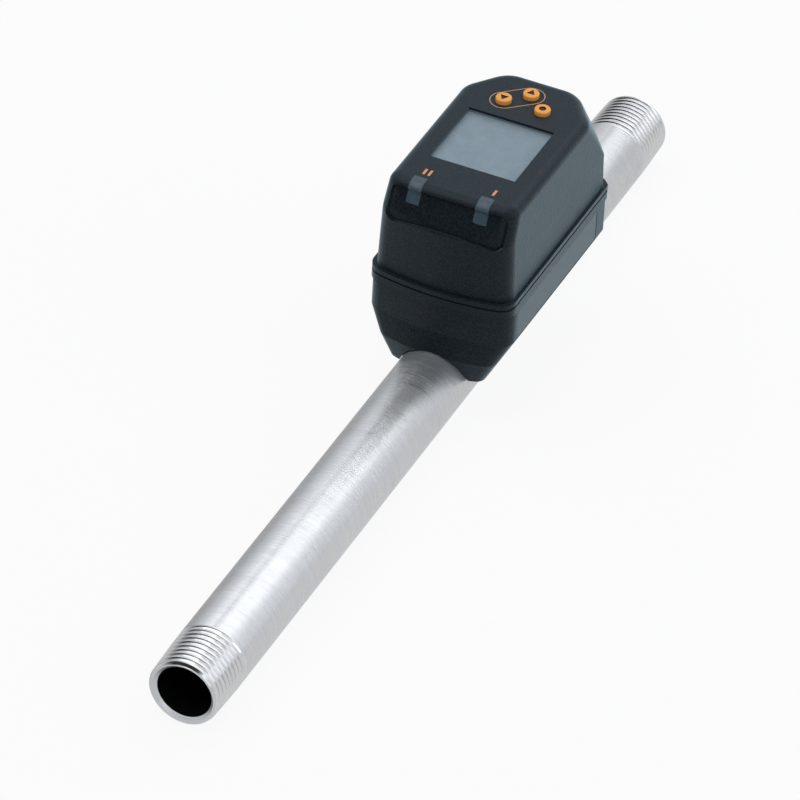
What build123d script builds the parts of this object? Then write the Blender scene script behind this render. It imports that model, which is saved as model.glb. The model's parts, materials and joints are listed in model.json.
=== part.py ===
from build123d import *
import os

os.makedirs("parts", exist_ok=True)

# Frame: origin at the centre of the inlet face, +X along the flow, +Z up through the display.
# All lengths are in millimetres.

# Meter pipe, a half-inch stainless tube with a pipe thread at each end
pipe_length = 300.0
pipe_diameter = 21.3
pipe_wall = 2.6
thread_diameter = 20.955
thread_length = 18.0
thread_lead = 0.4
mouth_chamfer = 0.5

# Probe station, measured from the inlet face
inlet_run = 192.3

# Clearances
fit_gap = 0.05
panel_gap = 0.35
board_gap = 0.5
button_gap = 0.2
pipe_gap = 0.35

# Housing envelope
housing_length = 70.6
case_bottom = 3.0
case_kink = 17.3
seam_height = 30.0
case_lip_depth = 2.4
gasket_thickness = 0.6
gasket_inset = 0.8
gasket_width = 1.2
cover_lip_depth = 1.4
corner_cut_base = 43.0
slope_base = 51.5
cover_top = 60.8
case_floor_half = 14.5
case_half = 21.9
cover_half = 20.9
cover_top_half = 19.7
lip_overhang = 1.1
end_bow = 2.9
case_belly_height = 10.0
case_belly = 1.1
slope_run = 6.0
wall = 2.2
near_corner_radius = 5.0
floor_corner_radius = 3.0
far_corner_cut = 2.4
far_corner_radius = 1.6
top_cut_length = 13.0
top_cut_width = 9.5
top_cut_radius = 10.0
top_far_lean = 1.4
top_edge_radius = 3.2
bend_ease = 0.7

# Recess in the sloped end of the cover
recess_half = 18.0
recess_bottom = 48.6
recess_rise = 2.6
recess_top = 59.2
recess_depth = 0.9
recess_corner = 2.6

# Saddle over the pipe and the pipe seals
saddle_wall = 2.0
seal_width = 3.0
seal_depth = 1.0
seal_inset = 3.4

# Welded socket, its nuts and the flow probe
socket_collar_diameter = 19.0
socket_shoulder = 13.4
socket_neck_diameter = 16.0
socket_top = 22.0
probe_bore_diameter = 11.2
seat_disc_diameter = 26.0
seat_thickness = 2.4
housing_nut_flats = 23.0
housing_nut_height = 3.0
probe_flange_diameter = 15.0
probe_flange_height = 2.5
probe_neck_diameter = 9.0
probe_neck_top = 33.0
probe_shaft_bottom = 8.4
probe_nut_flats = 20.0
probe_nut_lip = 2.0
nut_gap = 0.6
ring_section = 1.2
ring_height = 17.0
sensor_diameter = 1.8
sensor_spacing = 3.2
sensor_tip = -1.0

# Side panels let into the flanks of the lower housing
panel_start_inset = 8.0
panel_end_inset = 8.2
panel_drop = 0.5
panel_thickness = 1.0
panel_corner = 0.4

# Screws that join the two halves
screw_near_inset = 8.2
screw_far_inset = 6.6
screw_row_half = 15.6
screw_column_diameter = 8.0
cover_column_diameter = 6.4
cover_column_height = 14.4
screw_seat_depth = 11.0
screw_head_diameter = 5.4
screw_head_height = 2.2
screw_head_pocket = 6.0
screw_diameter = 2.9
screw_grip = 6.0
hex_key = 2.5
hex_key_depth = 1.2

# Display window and its stack, measured from the near wall
window_offset = 33.65
window_length = 26.8
window_width = 26.2
window_lip = 0.7
glass_overlap = 1.1
glass_thickness = 1.1
cell_border = 0.8
cell_thickness = 2.0
carrier_wall = 1.4
display_board_top = 54.5
board_thickness = 1.6

# Buttons, placed from the middle of the window
button_row_offset = 21.15
button_spread = 6.0
button_lead = 5.6
button_diameter = 4.9
button_height = 1.25
button_edge = 0.4
button_collar_diameter = 6.2
button_collar_thickness = 0.9
button_rest_gap = 0.3
button_stem_diameter = 2.6
button_stem_length = 0.4
mark_depth = 0.35
arrow_size = 1.4
dot_diameter = 2.1
switch_size = 4.4
switch_height = 1.7
plunger_diameter = 2.6
switch_well = 1.2
plunger_sink = 0.65

# Status light guides
guide_row_half = 10.2
guide_width = 2.8
guide_far_inset = 9.6
guide_bottom = 55.4
guide_gap = 0.08
guide_leg = 1.6
led_size = 1.6
led_height = 0.9
led_gap = 0.2

# Board posts, spacers and the main board
post_near_offset = 14.1
post_far_offset = 51.1
post_row_half = 13.0
post_diameter = 4.4
stud_diameter = 1.9
stud_length = 3.4
spacer_flats = 4.0
main_board_bottom = 35.0
main_board_margin = 2.7
main_board_half = 15.4
board_screw_head = 3.6
board_screw_head_height = 1.4
board_screw_length = 5.0
stack_length = 20.0
stack_width = 5.0
stack_row = 5.0
probe_plug_size = 8.0

# Round connector in the far wall
connector_drop = 3.9
connector_thread_diameter = 12.0
connector_reach = 11.4
connector_bore_diameter = 8.5
connector_tube_diameter = 13.2
connector_flange_diameter = 16.6
connector_flange_thickness = 2.0
connector_depth = 8.0
connector_tail = 5.2
connector_pad_diameter = 17.6
connector_pad_height = 0.9
connector_chamfer = 0.6
connector_nut_flats = 16.0
connector_nut_height = 3.0
connector_ring_section = 1.0
pin_diameter = 1.0
pin_row = 1.77
pin_recess = 1.4
pin_tail = 2.5
key_width = 1.2
key_height = 0.8

# Places worked out from the sizes above
panel_bottom = case_kink
pipe_radius = pipe_diameter / 2
bore_radius = pipe_radius - pipe_wall
housing_start = inlet_run - housing_length / 2
housing_end = inlet_run + housing_length / 2
cover_bottom = seam_height + gasket_thickness
cover_base = cover_bottom + cover_lip_depth
case_lip_bottom = seam_height - case_lip_depth
panel_top = case_lip_bottom - panel_drop
panel_length = housing_length - panel_start_inset - panel_end_inset
panel_middle = housing_start + panel_start_inset + panel_length / 2
roof_underside = cover_top - wall
saddle_radius = pipe_radius + pipe_gap
saddle_top_radius = saddle_radius + saddle_wall
seat_top = socket_shoulder + fit_gap + seat_thickness
socket_radius = socket_neck_diameter / 2
probe_radius = probe_bore_diameter / 2 - fit_gap
housing_nut_top = seat_top + fit_gap + housing_nut_height
probe_flange_top = socket_top + probe_flange_height
window_x = housing_start + window_offset
display_board_bottom = display_board_top - board_thickness
main_board_top = main_board_bottom + board_thickness
button_up_place = (window_x + button_row_offset, button_spread)
button_down_place = (window_x + button_row_offset + button_lead, 0.0)
button_set_place = (window_x + button_row_offset, -button_spread)
button_places = [button_up_place, button_down_place, button_set_place]
glass_bottom = cover_top - window_lip - fit_gap - glass_thickness
led_top = display_board_top + led_height
led_x = housing_start + guide_far_inset - guide_leg / 2
post_middle = housing_start + (post_near_offset + post_far_offset) / 2
switch_top = display_board_top + switch_height
collar_top = roof_underside - button_rest_gap
collar_bottom = collar_top - button_collar_thickness
stem_bottom = collar_bottom - button_stem_length
button_top = cover_top + button_height
screw_seat = seam_height - screw_seat_depth
screw_tip = seam_height + screw_grip
screw_places = [
    (x, y)
    for x in (housing_start + screw_near_inset, housing_end - screw_far_inset)
    for y in (-screw_row_half, screw_row_half)
]
post_places = [
    (x, y)
    for x in (housing_start + post_near_offset, housing_start + post_far_offset)
    for y in (-post_row_half, post_row_half)
]
connector_height = display_board_bottom - connector_nut_flats / 2 - connector_drop
pad_face = housing_end + connector_pad_height
flange_face = pad_face + fit_gap
thread_root = flange_face + connector_flange_thickness
connector_mouth = flange_face + connector_reach
insert_face = connector_mouth - connector_depth
tail_end = pad_face - connector_pad_height - wall - connector_tail
ring_middle_radius = connector_tube_diameter / 2 + fit_gap + connector_ring_section / 2
ring_groove_radius = ring_middle_radius + connector_ring_section / 2
pin_spots = [(y, z) for y in (-pin_row, pin_row) for z in (-pin_row, pin_row)]
connector_axis = Axis((0, 0, connector_height), (1, 0, 0))
probe_axis = Axis((inlet_run, 0, 0), (0, 0, 1))
probe_plane = Plane(origin=(inlet_run, 0, 0), x_dir=(1, 0, 0), z_dir=(0, -1, 0))
connector_plane = Plane(origin=(0, 0, connector_height), x_dir=(1, 0, 0), z_dir=(0, -1, 0))


def between(height, low, high, low_value, high_value):
    """Value on the straight line through (low, low_value) and (high, high_value)."""
    share = min(max((height - low) / (high - low), 0.0), 1.0)
    return low_value + share * (high_value - low_value)


def plan_outline(height, start, end, half, bow, cuts, cut_radius, inset):
    """Plan of the housing: a bowed near wall, straight flanks and cut far corners."""
    near_radius = between(height, case_bottom, case_kink, floor_corner_radius, near_corner_radius)
    near = start + inset
    far = end - inset
    side = half - inset
    cut_length, cut_width = cuts
    with BuildSketch(Plane.XY.offset(height)) as outline:
        with BuildLine():
            ThreePointArc((near + bow, -side), (near, 0), (near + bow, side))
            Polyline(
                (near + bow, side),
                (far - cut_length, side),
                (far, side - cut_width),
                (far, cut_width - side),
                (far - cut_length, -side),
                (near + bow, -side),
            )
        make_face()
        fillet(outline.vertices().group_by(Axis.X)[0], near_radius - inset)
        far_corners = outline.vertices().filter_by_position(
            Axis.X, far - cut_length - fit_gap, far + fit_gap
        )
        fillet(far_corners, cut_radius)
    return outline.sketch


def case_outline(height, inset):
    """Plan of the lower housing, which tapers to its floor below the kink."""
    half = between(height, case_bottom, case_kink, case_floor_half, case_half)
    belly = between(height, case_belly_height, case_kink, case_belly, 0.0)
    if height < case_belly_height:
        belly = between(height, case_bottom, case_belly_height, 0.0, case_belly)
    cuts = (far_corner_cut, far_corner_cut)
    start = housing_start - belly
    return plan_outline(height, start, housing_end, half, end_bow, cuts, far_corner_radius, inset)


def lip_outline(height):
    """Plan of the lips at the seam, which stand out beyond both end walls."""
    cuts = (far_corner_cut, far_corner_cut)
    start = housing_start - lip_overhang
    end = housing_end + lip_overhang
    return plan_outline(height, start, end, case_half, end_bow, cuts, far_corner_radius, 0)


def cover_outline(height, inset):
    """Plan of the cover, with its slope above the bend and its growing corner cuts."""
    half = between(height, cover_base, cover_top, cover_half, cover_top_half)
    start = housing_start + between(height, slope_base, cover_top, 0.0, slope_run)
    bow = between(height, slope_base, cover_top, end_bow, fit_gap)
    cut_length = between(height, corner_cut_base, cover_top, far_corner_cut, top_cut_length)
    cut_width = between(height, corner_cut_base, cover_top, far_corner_cut, top_cut_width)
    radius = between(height, corner_cut_base, cover_top, far_corner_radius, top_cut_radius)
    cuts = (cut_length, cut_width)
    end = housing_end - between(height, slope_base, cover_top, 0.0, top_far_lean)
    return plan_outline(height, start, end, half, bow, cuts, radius, inset)


def face_edges(part, height):
    """Outer edges of the level face at a height."""
    level = part.faces().filter_by(Axis.Z)
    level = level.filter_by_position(Axis.Z, height - fit_gap, height + fit_gap)
    return level.sort_by(SortBy.AREA)[-1].outer_wire().edges()


# Meter pipe: turned thread seats, through bore and the hole under the welded socket
with BuildPart() as meter_pipe:
    with BuildSketch(Plane.XZ) as pipe_section:
        with BuildLine():
            Polyline(
                (mouth_chamfer, bore_radius),
                (0, bore_radius + mouth_chamfer),
                (0, thread_diameter / 2 - thread_lead),
                (thread_lead, thread_diameter / 2),
                (thread_length, thread_diameter / 2),
                (thread_length, pipe_radius),
                (pipe_length - thread_length, pipe_radius),
                (pipe_length - thread_length, thread_diameter / 2),
                (pipe_length - thread_lead, thread_diameter / 2),
                (pipe_length, thread_diameter / 2 - thread_lead),
                (pipe_length, bore_radius + mouth_chamfer),
                (pipe_length - mouth_chamfer, bore_radius),
                close=True,
            )
        make_face()
    revolve(axis=Axis.X)
    with Locations((inlet_run, 0, 0)):
        Cylinder(
            probe_bore_diameter / 2,
            pipe_diameter,
            align=(Align.CENTER, Align.CENTER, Align.MIN),
            mode=Mode.SUBTRACT,
        )

# Probe socket: a collar coped to the pipe, with a threaded neck above its shoulder
with BuildPart() as probe_socket:
    with BuildSketch(probe_plane):
        with BuildLine():
            Polyline(
                (probe_bore_diameter / 2, 0),
                (socket_collar_diameter / 2, 0),
                (socket_collar_diameter / 2, socket_shoulder),
                (socket_radius, socket_shoulder),
                (socket_radius, socket_top),
                (probe_bore_diameter / 2, socket_top),
                close=True,
            )
        make_face()
    revolve(axis=probe_axis)
    with BuildSketch(Plane.YZ.offset(inlet_run - socket_collar_diameter)):
        Circle(pipe_radius)
    extrude(amount=2 * socket_collar_diameter, mode=Mode.SUBTRACT)

# Probe body: a shaft that fills the socket, a seal groove, a clamped flange and a cable neck
with BuildPart() as probe_body:
    with BuildSketch(probe_plane):
        with BuildLine():
            Polyline(
                (0, probe_shaft_bottom),
                (probe_radius, probe_shaft_bottom),
                (probe_radius, ring_height - ring_section),
                (probe_radius - ring_section, ring_height - ring_section),
                (probe_radius - ring_section, ring_height + ring_section),
                (probe_radius, ring_height + ring_section),
                (probe_radius, socket_top + fit_gap),
                (probe_flange_diameter / 2, socket_top + fit_gap),
                (probe_flange_diameter / 2, probe_flange_top),
                (probe_neck_diameter / 2, probe_flange_top),
                (probe_neck_diameter / 2, probe_neck_top),
                (0, probe_neck_top),
                close=True,
            )
        make_face()
    revolve(axis=probe_axis)

# Square ring seal in the groove of the probe shaft
with BuildPart() as probe_seal:
    with BuildSketch(probe_plane):
        with Locations((probe_radius - ring_section / 2, ring_height)):
            Rectangle(ring_section, ring_section)
    revolve(axis=probe_axis)

# Heated sensor and reference sensor: two round-nosed needles that reach into the flow
with BuildPart() as heated_sensor:
    with BuildSketch(Plane.XY.offset(sensor_tip)):
        with Locations((inlet_run - sensor_spacing / 2, 0)):
            Circle(sensor_diameter / 2)
    extrude(amount=probe_shaft_bottom - sensor_tip)
    fillet(heated_sensor.edges().group_by(Axis.Z)[0], sensor_diameter / 3)

with BuildPart() as reference_sensor:
    with BuildSketch(Plane.XY.offset(sensor_tip)):
        with Locations((inlet_run + sensor_spacing / 2, 0)):
            Circle(sensor_diameter / 2)
    extrude(amount=probe_shaft_bottom - sensor_tip)
    fillet(reference_sensor.edges().group_by(Axis.Z)[0], sensor_diameter / 3)

# Thin nut that clamps the housing floor on the socket's shoulder
with BuildPart() as housing_nut:
    with BuildSketch(Plane.XY.offset(seat_top + fit_gap)):
        with Locations((inlet_run, 0)):
            RegularPolygon(housing_nut_flats / 2, 6, major_radius=False)
            Circle(socket_radius + fit_gap, mode=Mode.SUBTRACT)
    extrude(amount=housing_nut_height)

# Union nut that holds the probe's flange on the socket
with BuildPart() as probe_nut:
    with BuildSketch(Plane.XY.offset(housing_nut_top + nut_gap)):
        with Locations((inlet_run, 0)):
            RegularPolygon(probe_nut_flats / 2, 6, major_radius=False)
    extrude(amount=probe_flange_top + fit_gap + probe_nut_lip - housing_nut_top - nut_gap)
    with BuildSketch(Plane.XY.offset(housing_nut_top + nut_gap)):
        with Locations((inlet_run, 0)):
            Circle(socket_radius + fit_gap)
    extrude(amount=probe_flange_top + fit_gap - housing_nut_top - nut_gap, mode=Mode.SUBTRACT)
    with BuildSketch(Plane.XY.offset(probe_flange_top)):
        with Locations((inlet_run, 0)):
            Circle(probe_neck_diameter / 2 + nut_gap)
    extrude(amount=2 * probe_nut_lip, mode=Mode.SUBTRACT)

# Hollow of the lower housing: the saddle arch, the socket seat and the screw columns stay solid
with BuildPart() as case_hollow:
    loft(
        sections=[
            case_outline(case_bottom + wall, wall),
            case_outline(case_belly_height, wall),
            case_outline(case_kink, wall),
            case_outline(seam_height, wall),
        ],
        ruled=True,
    )
    with BuildSketch(Plane.YZ.offset(housing_start - lip_overhang)):
        Circle(saddle_top_radius)
    extrude(amount=housing_length + 2 * lip_overhang, mode=Mode.SUBTRACT)
    with BuildSketch(Plane.XY):
        with Locations((inlet_run, 0)):
            Circle(seat_disc_diameter / 2)
    extrude(amount=seat_top, mode=Mode.SUBTRACT)
    with BuildSketch(Plane.XY):
        with Locations(*screw_places):
            Circle(screw_column_diameter / 2)
    extrude(amount=cover_top, mode=Mode.SUBTRACT)

# Lower housing: tapered saddle shell with a lip, panel pockets and screw pockets from below
with BuildPart() as lower_housing:
    loft(
        sections=[
            case_outline(case_bottom, 0),
            case_outline(case_belly_height, 0),
            case_outline(case_kink, 0),
            case_outline(case_lip_bottom, 0),
        ],
        ruled=True,
    )
    add(lip_outline(case_lip_bottom))
    extrude(amount=seam_height - case_lip_bottom)
    add(case_hollow.part, mode=Mode.SUBTRACT)
    with BuildSketch(Plane.YZ.offset(housing_start - 2 * lip_overhang)):
        Circle(saddle_radius)
    extrude(amount=housing_length + 4 * lip_overhang, mode=Mode.SUBTRACT)
    for end in (housing_start + seal_inset, housing_end - seal_inset - seal_width):
        with BuildSketch(Plane.YZ.offset(end)):
            Circle(saddle_radius + seal_depth)
        extrude(amount=seal_width, mode=Mode.SUBTRACT)
    with BuildSketch(Plane.XY):
        with Locations((inlet_run, 0)):
            Circle(socket_collar_diameter / 2 + fit_gap)
    extrude(amount=socket_shoulder + fit_gap, mode=Mode.SUBTRACT)
    with BuildSketch(Plane.XY):
        with Locations((inlet_run, 0)):
            Circle(socket_radius + fit_gap)
    extrude(amount=seam_height, mode=Mode.SUBTRACT)
    with BuildSketch(Plane.XY):
        with Locations(*screw_places):
            Circle(screw_head_pocket / 2)
    extrude(amount=screw_seat, mode=Mode.SUBTRACT)
    with BuildSketch(Plane.XY):
        with Locations(*screw_places):
            Circle(screw_diameter / 2 + fit_gap)
    extrude(amount=seam_height, mode=Mode.SUBTRACT)
    for side in (-1, 1):
        with BuildSketch(Plane.XZ.offset(-side * (case_half - panel_thickness - fit_gap))):
            with Locations((panel_middle, (panel_bottom + panel_top) / 2)):
                Rectangle(panel_length, panel_top - panel_bottom)
        extrude(amount=-side * case_half, mode=Mode.SUBTRACT)

# Rubber arches that close the gap between the saddle and the pipe at both ends
with BuildPart() as inlet_pipe_seal:
    with BuildSketch(Plane.YZ.offset(housing_start + seal_inset + fit_gap)):
        Circle(saddle_radius + seal_depth - fit_gap)
        Circle(pipe_radius + fit_gap, mode=Mode.SUBTRACT)
        with Locations((0, case_bottom + fit_gap)):
            Rectangle(
                pipe_diameter * 2,
                pipe_diameter,
                align=(Align.CENTER, Align.MIN),
                mode=Mode.INTERSECT,
            )
    extrude(amount=seal_width - 2 * fit_gap)

with BuildPart() as outlet_pipe_seal:
    add(inlet_pipe_seal.part.mirror(Plane.YZ.offset(inlet_run)))

# Side panels: flat plates flush with the flanks, with a shadow gap below and at the far end
with BuildPart() as side_panel_right:
    with BuildSketch(Plane.XZ.offset(case_half - panel_thickness)):
        with Locations((panel_middle - panel_gap / 2, (panel_bottom + panel_top + panel_gap) / 2)):
            RectangleRounded(
                panel_length - panel_gap - 2 * fit_gap,
                panel_top - panel_bottom - panel_gap - 2 * fit_gap,
                panel_corner,
            )
    extrude(amount=panel_thickness)

with BuildPart() as side_panel_left:
    add(side_panel_right.part.mirror(Plane.XZ))

# Gasket between the lips, set back so that the seam shows as a shadow line
with BuildPart() as housing_gasket:
    add(case_outline(seam_height + fit_gap, gasket_inset))
    extrude(amount=gasket_thickness - 2 * fit_gap)
    add(case_outline(seam_height + fit_gap, gasket_inset + gasket_width))
    extrude(amount=gasket_thickness - 2 * fit_gap, mode=Mode.SUBTRACT)

# Outer form of the cover: flanks with draft, a sloped near end and slanted far corners
with BuildPart() as cover_form:
    loft(
        sections=[
            cover_outline(cover_bottom, 0),
            cover_outline(corner_cut_base, 0),
            cover_outline(slope_base - bend_ease, 0),
            cover_outline(slope_base + bend_ease, 0),
            cover_outline(cover_top, 0),
        ],
        ruled=True,
    )
    fillet(face_edges(cover_form, cover_top), top_edge_radius)

# Core of the cover that stays behind the recess
with BuildPart() as recess_floor:
    loft(
        sections=[
            cover_outline(cover_base, recess_depth),
            cover_outline(corner_cut_base, recess_depth),
            cover_outline(slope_base - bend_ease, recess_depth),
            cover_outline(slope_base + bend_ease, recess_depth),
            cover_outline(cover_top, recess_depth),
        ],
        ruled=True,
    )

# Recess in the sloped end: an arched lower border and rounded corners
with BuildPart() as recess:
    with BuildSketch(Plane.YZ.offset(housing_start - lip_overhang)) as recess_outline:
        with BuildLine():
            ThreePointArc(
                (-recess_half, recess_bottom), (0, recess_bottom + recess_rise), (recess_half, recess_bottom)
            )
            Polyline(
                (recess_half, recess_bottom),
                (recess_half, recess_top),
                (-recess_half, recess_top),
                (-recess_half, recess_bottom),
            )
        make_face()
        fillet(recess_outline.vertices(), recess_corner)
    extrude(amount=slope_run + end_bow + lip_overhang)
    add(recess_floor.part, mode=Mode.SUBTRACT)

# Hollow of the cover: its screw columns and board posts stay solid
with BuildPart() as cover_hollow:
    loft(
        sections=[
            cover_outline(cover_bottom, wall),
            cover_outline(corner_cut_base, wall),
            cover_outline(slope_base - bend_ease, wall),
            cover_outline(slope_base + bend_ease, wall),
            cover_outline(roof_underside, wall),
        ],
        ruled=True,
    )
    with BuildSketch(Plane.XY.offset(cover_bottom)):
        with Locations(*screw_places):
            Circle(cover_column_diameter / 2)
    extrude(amount=cover_column_height, mode=Mode.SUBTRACT)
    with BuildSketch(Plane.XY.offset(display_board_top + fit_gap)):
        with Locations(*post_places):
            Circle(post_diameter / 2)
    extrude(amount=cover_top - display_board_top, mode=Mode.SUBTRACT)

# Shell of the cover before it is pierced, which the light guides share
with BuildPart() as cover_shell:
    add(cover_form.part)
    add(recess.part, mode=Mode.SUBTRACT)
    add(cover_hollow.part, mode=Mode.SUBTRACT)

# Cover: window with its rebate, button holes, guide slots, connector pad and fixing holes
with BuildPart() as housing_cover:
    add(cover_shell.part)
    add(lip_outline(cover_bottom))
    extrude(amount=cover_base - cover_bottom)
    add(case_outline(cover_bottom, wall))
    extrude(amount=cover_base - cover_bottom, mode=Mode.SUBTRACT)
    with BuildSketch(Plane.XY.offset(cover_bottom)):
        with Locations(*screw_places):
            Circle(cover_column_diameter / 2)
    extrude(amount=cover_column_height)
    with BuildSketch(Plane.YZ.offset(housing_end - wall)):
        with Locations((0, connector_height)):
            Circle(connector_pad_diameter / 2)
    extrude(amount=wall + connector_pad_height)
    with BuildSketch(Plane.YZ.offset(housing_end - 2 * wall)):
        with Locations((0, connector_height)):
            Circle(connector_tube_diameter / 2 + fit_gap)
    extrude(amount=3 * wall, mode=Mode.SUBTRACT)
    with BuildSketch(Plane.XY.offset(cover_bottom)):
        with Locations(*screw_places):
            Circle(screw_diameter / 2 + fit_gap)
    extrude(amount=screw_tip + fit_gap - cover_bottom, mode=Mode.SUBTRACT)
    with BuildSketch(Plane.XY.offset(display_board_top)):
        with Locations(*post_places):
            Circle(stud_diameter / 2 + fit_gap)
    extrude(amount=stud_length, mode=Mode.SUBTRACT)
    with BuildSketch(Plane.XY.offset(roof_underside - wall)):
        with Locations((window_x, 0)):
            Rectangle(window_length, window_width)
        with Locations(*button_places):
            Circle(button_diameter / 2 + button_gap)
    extrude(amount=3 * wall, mode=Mode.SUBTRACT)
    with BuildSketch(Plane.XY.offset(roof_underside)):
        with Locations((window_x, 0)):
            Rectangle(window_length + 2 * glass_overlap, window_width + 2 * glass_overlap)
    extrude(amount=wall - window_lip, mode=Mode.SUBTRACT)
    for side in (-1, 1):
        with BuildSketch(Plane.XY.offset(guide_bottom - guide_gap)):
            with Locations((housing_start, side * guide_row_half)):
                Rectangle(
                    2 * (guide_far_inset + guide_gap),
                    guide_width + 2 * guide_gap,
                )
        extrude(amount=cover_top - guide_bottom + wall, mode=Mode.SUBTRACT)

# Light guides: strips of the cover's own surface with a leg down to each lamp
with BuildPart() as light_guide_left:
    add(cover_shell.part)
    with BuildSketch(Plane.XY.offset(guide_bottom)):
        with Locations((housing_start, guide_row_half)):
            Rectangle(2 * guide_far_inset, guide_width)
    extrude(amount=cover_top, mode=Mode.INTERSECT)
    with BuildSketch(Plane.XY.offset(led_top + led_gap)):
        with Locations((led_x, guide_row_half)):
            Rectangle(guide_leg, guide_leg)
    extrude(amount=cover_top - wall / 2 - led_top - led_gap)

with BuildPart() as light_guide_right:
    add(light_guide_left.part.mirror(Plane.XZ))

# Status lamps under the legs of the light guides, with domed lenses
with BuildPart() as status_lamps:
    with BuildSketch(Plane.XY.offset(display_board_top)):
        with Locations((led_x, -guide_row_half), (led_x, guide_row_half)):
            Rectangle(led_size, led_size)
    extrude(amount=led_height)
    chamfer(status_lamps.faces().sort_by(Axis.Z)[-2:].edges(), led_height / 4)

# Window glass, seated from inside in the rebate
with BuildPart() as display_glass:
    with BuildSketch(Plane.XY.offset(glass_bottom)):
        with Locations((window_x, 0)):
            Rectangle(
                window_length + 2 * (glass_overlap - fit_gap),
                window_width + 2 * (glass_overlap - fit_gap),
            )
    extrude(amount=glass_thickness)

# Display cell behind the glass
with BuildPart() as display_cell:
    with BuildSketch(Plane.XY.offset(glass_bottom - fit_gap)):
        with Locations((window_x, 0)):
            Rectangle(window_length + 2 * cell_border, window_width + 2 * cell_border)
    extrude(amount=-cell_thickness)

# Carrier frame that holds the display cell above its board
with BuildPart() as display_carrier:
    with BuildSketch(Plane.XY.offset(display_board_top)):
        with Locations((window_x, 0)):
            Rectangle(window_length + 2 * cell_border, window_width + 2 * cell_border)
            Rectangle(
                window_length + 2 * (cell_border - carrier_wall),
                window_width + 2 * (cell_border - carrier_wall),
                mode=Mode.SUBTRACT,
            )
    extrude(amount=glass_bottom - fit_gap - cell_thickness - display_board_top)

# Display board, cut to the inner plan of the cover
with BuildPart() as display_board:
    add(cover_outline(display_board_top, wall + board_gap))
    extrude(amount=-board_thickness)
    with BuildSketch(Plane.XY.offset(display_board_top)):
        with Locations(*post_places):
            Circle(stud_diameter / 2 + fit_gap)
    extrude(amount=-board_thickness, mode=Mode.SUBTRACT)

# Hexagonal spacers, with studs that pass the display board into the cover's posts
with BuildPart() as board_spacers:
    with BuildSketch(Plane.XY.offset(main_board_top)):
        with Locations(*post_places):
            RegularPolygon(spacer_flats / 2, 6, major_radius=False)
    extrude(amount=display_board_bottom - main_board_top)
    with BuildSketch(Plane.XY.offset(display_board_bottom)):
        with Locations(*post_places):
            Circle(stud_diameter / 2)
    extrude(amount=board_thickness + stud_length - fit_gap)
    with BuildSketch(Plane.XY.offset(main_board_top)):
        with Locations(*post_places):
            Circle(stud_diameter / 2 + fit_gap)
    extrude(amount=board_screw_length - board_thickness + fit_gap, mode=Mode.SUBTRACT)

# Main board under the spacers
with BuildPart() as main_board:
    with BuildSketch(Plane.XY.offset(main_board_bottom)):
        with Locations((post_middle, 0)):
            RectangleRounded(
                post_far_offset - post_near_offset + 2 * main_board_margin,
                2 * main_board_half,
                stud_diameter,
            )
        with Locations(*post_places):
            Circle(stud_diameter / 2 + fit_gap, mode=Mode.SUBTRACT)
    extrude(amount=board_thickness)

# Small screws that hold the main board to the spacers
with BuildPart() as board_screws:
    with BuildSketch(Plane.XY.offset(main_board_bottom)):
        with Locations(*post_places):
            Circle(board_screw_head / 2)
    extrude(amount=-board_screw_head_height)
    with BuildSketch(Plane.XY.offset(main_board_bottom)):
        with Locations(*post_places):
            Circle(stud_diameter / 2)
    extrude(amount=board_screw_length)

# Stacking connector between the two boards
with BuildPart() as board_connector:
    with BuildSketch(Plane.XY.offset(main_board_top)):
        with Locations((post_middle, stack_row)):
            Rectangle(stack_length, stack_width)
    extrude(amount=display_board_bottom - main_board_top)

# Plug that joins the probe's neck to the main board
with BuildPart() as probe_plug:
    with BuildSketch(Plane.XY.offset(probe_neck_top)):
        with Locations((inlet_run, 0)):
            Rectangle(probe_plug_size, probe_plug_size)
    extrude(amount=main_board_bottom - probe_neck_top)

# Tactile switches: housings with wells in which the plungers slide
with BuildPart() as button_switches:
    with BuildSketch(Plane.XY.offset(display_board_top)):
        with Locations(*button_places):
            Rectangle(switch_size, switch_size)
    extrude(amount=switch_height)
    with BuildSketch(Plane.XY.offset(switch_top)):
        with Locations(*button_places):
            Circle(plunger_diameter / 2 + button_gap / 2)
    extrude(amount=-switch_well, mode=Mode.SUBTRACT)


def plunger(place):
    """Switch plunger that the button's stem stands on."""
    with BuildPart() as piece:
        with BuildSketch(Plane.XY.offset(stem_bottom)):
            with Locations(place):
                Circle(plunger_diameter / 2)
        extrude(amount=-(stem_bottom - switch_top + plunger_sink))
    return piece


def button_cap(place):
    """Round cap with a collar under the cover and a short stem."""
    with BuildPart() as piece:
        with BuildSketch(Plane.XY.offset(stem_bottom)):
            with Locations(place):
                Circle(button_stem_diameter / 2)
        extrude(amount=button_stem_length)
        with BuildSketch(Plane.XY.offset(collar_bottom)):
            with Locations(place):
                Circle(button_collar_diameter / 2)
        extrude(amount=button_collar_thickness)
        with BuildSketch(Plane.XY.offset(collar_top)):
            with Locations(place):
                Circle(button_diameter / 2)
        extrude(amount=button_top - collar_top)
        chamfer(piece.edges().group_by(Axis.Z)[-1], button_edge)
    return piece


plungers = [plunger(place) for place in button_places]
button_up_plunger, button_down_plunger, button_set_plunger = plungers
caps = [button_cap(place) for place in button_places]

# Up button: its arrow points to the near end
with BuildPart() as button_up:
    add(caps[0].part)
    with BuildSketch(Plane.XY.offset(button_top)):
        with Locations(Location(button_up_place, 180)):
            RegularPolygon(arrow_size, 3)
    extrude(amount=-mark_depth, mode=Mode.SUBTRACT)

# Down button: its arrow points to the far end
with BuildPart() as button_down:
    add(caps[1].part)
    with BuildSketch(Plane.XY.offset(button_top)):
        with Locations(button_down_place):
            RegularPolygon(arrow_size, 3)
    extrude(amount=-mark_depth, mode=Mode.SUBTRACT)

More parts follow.
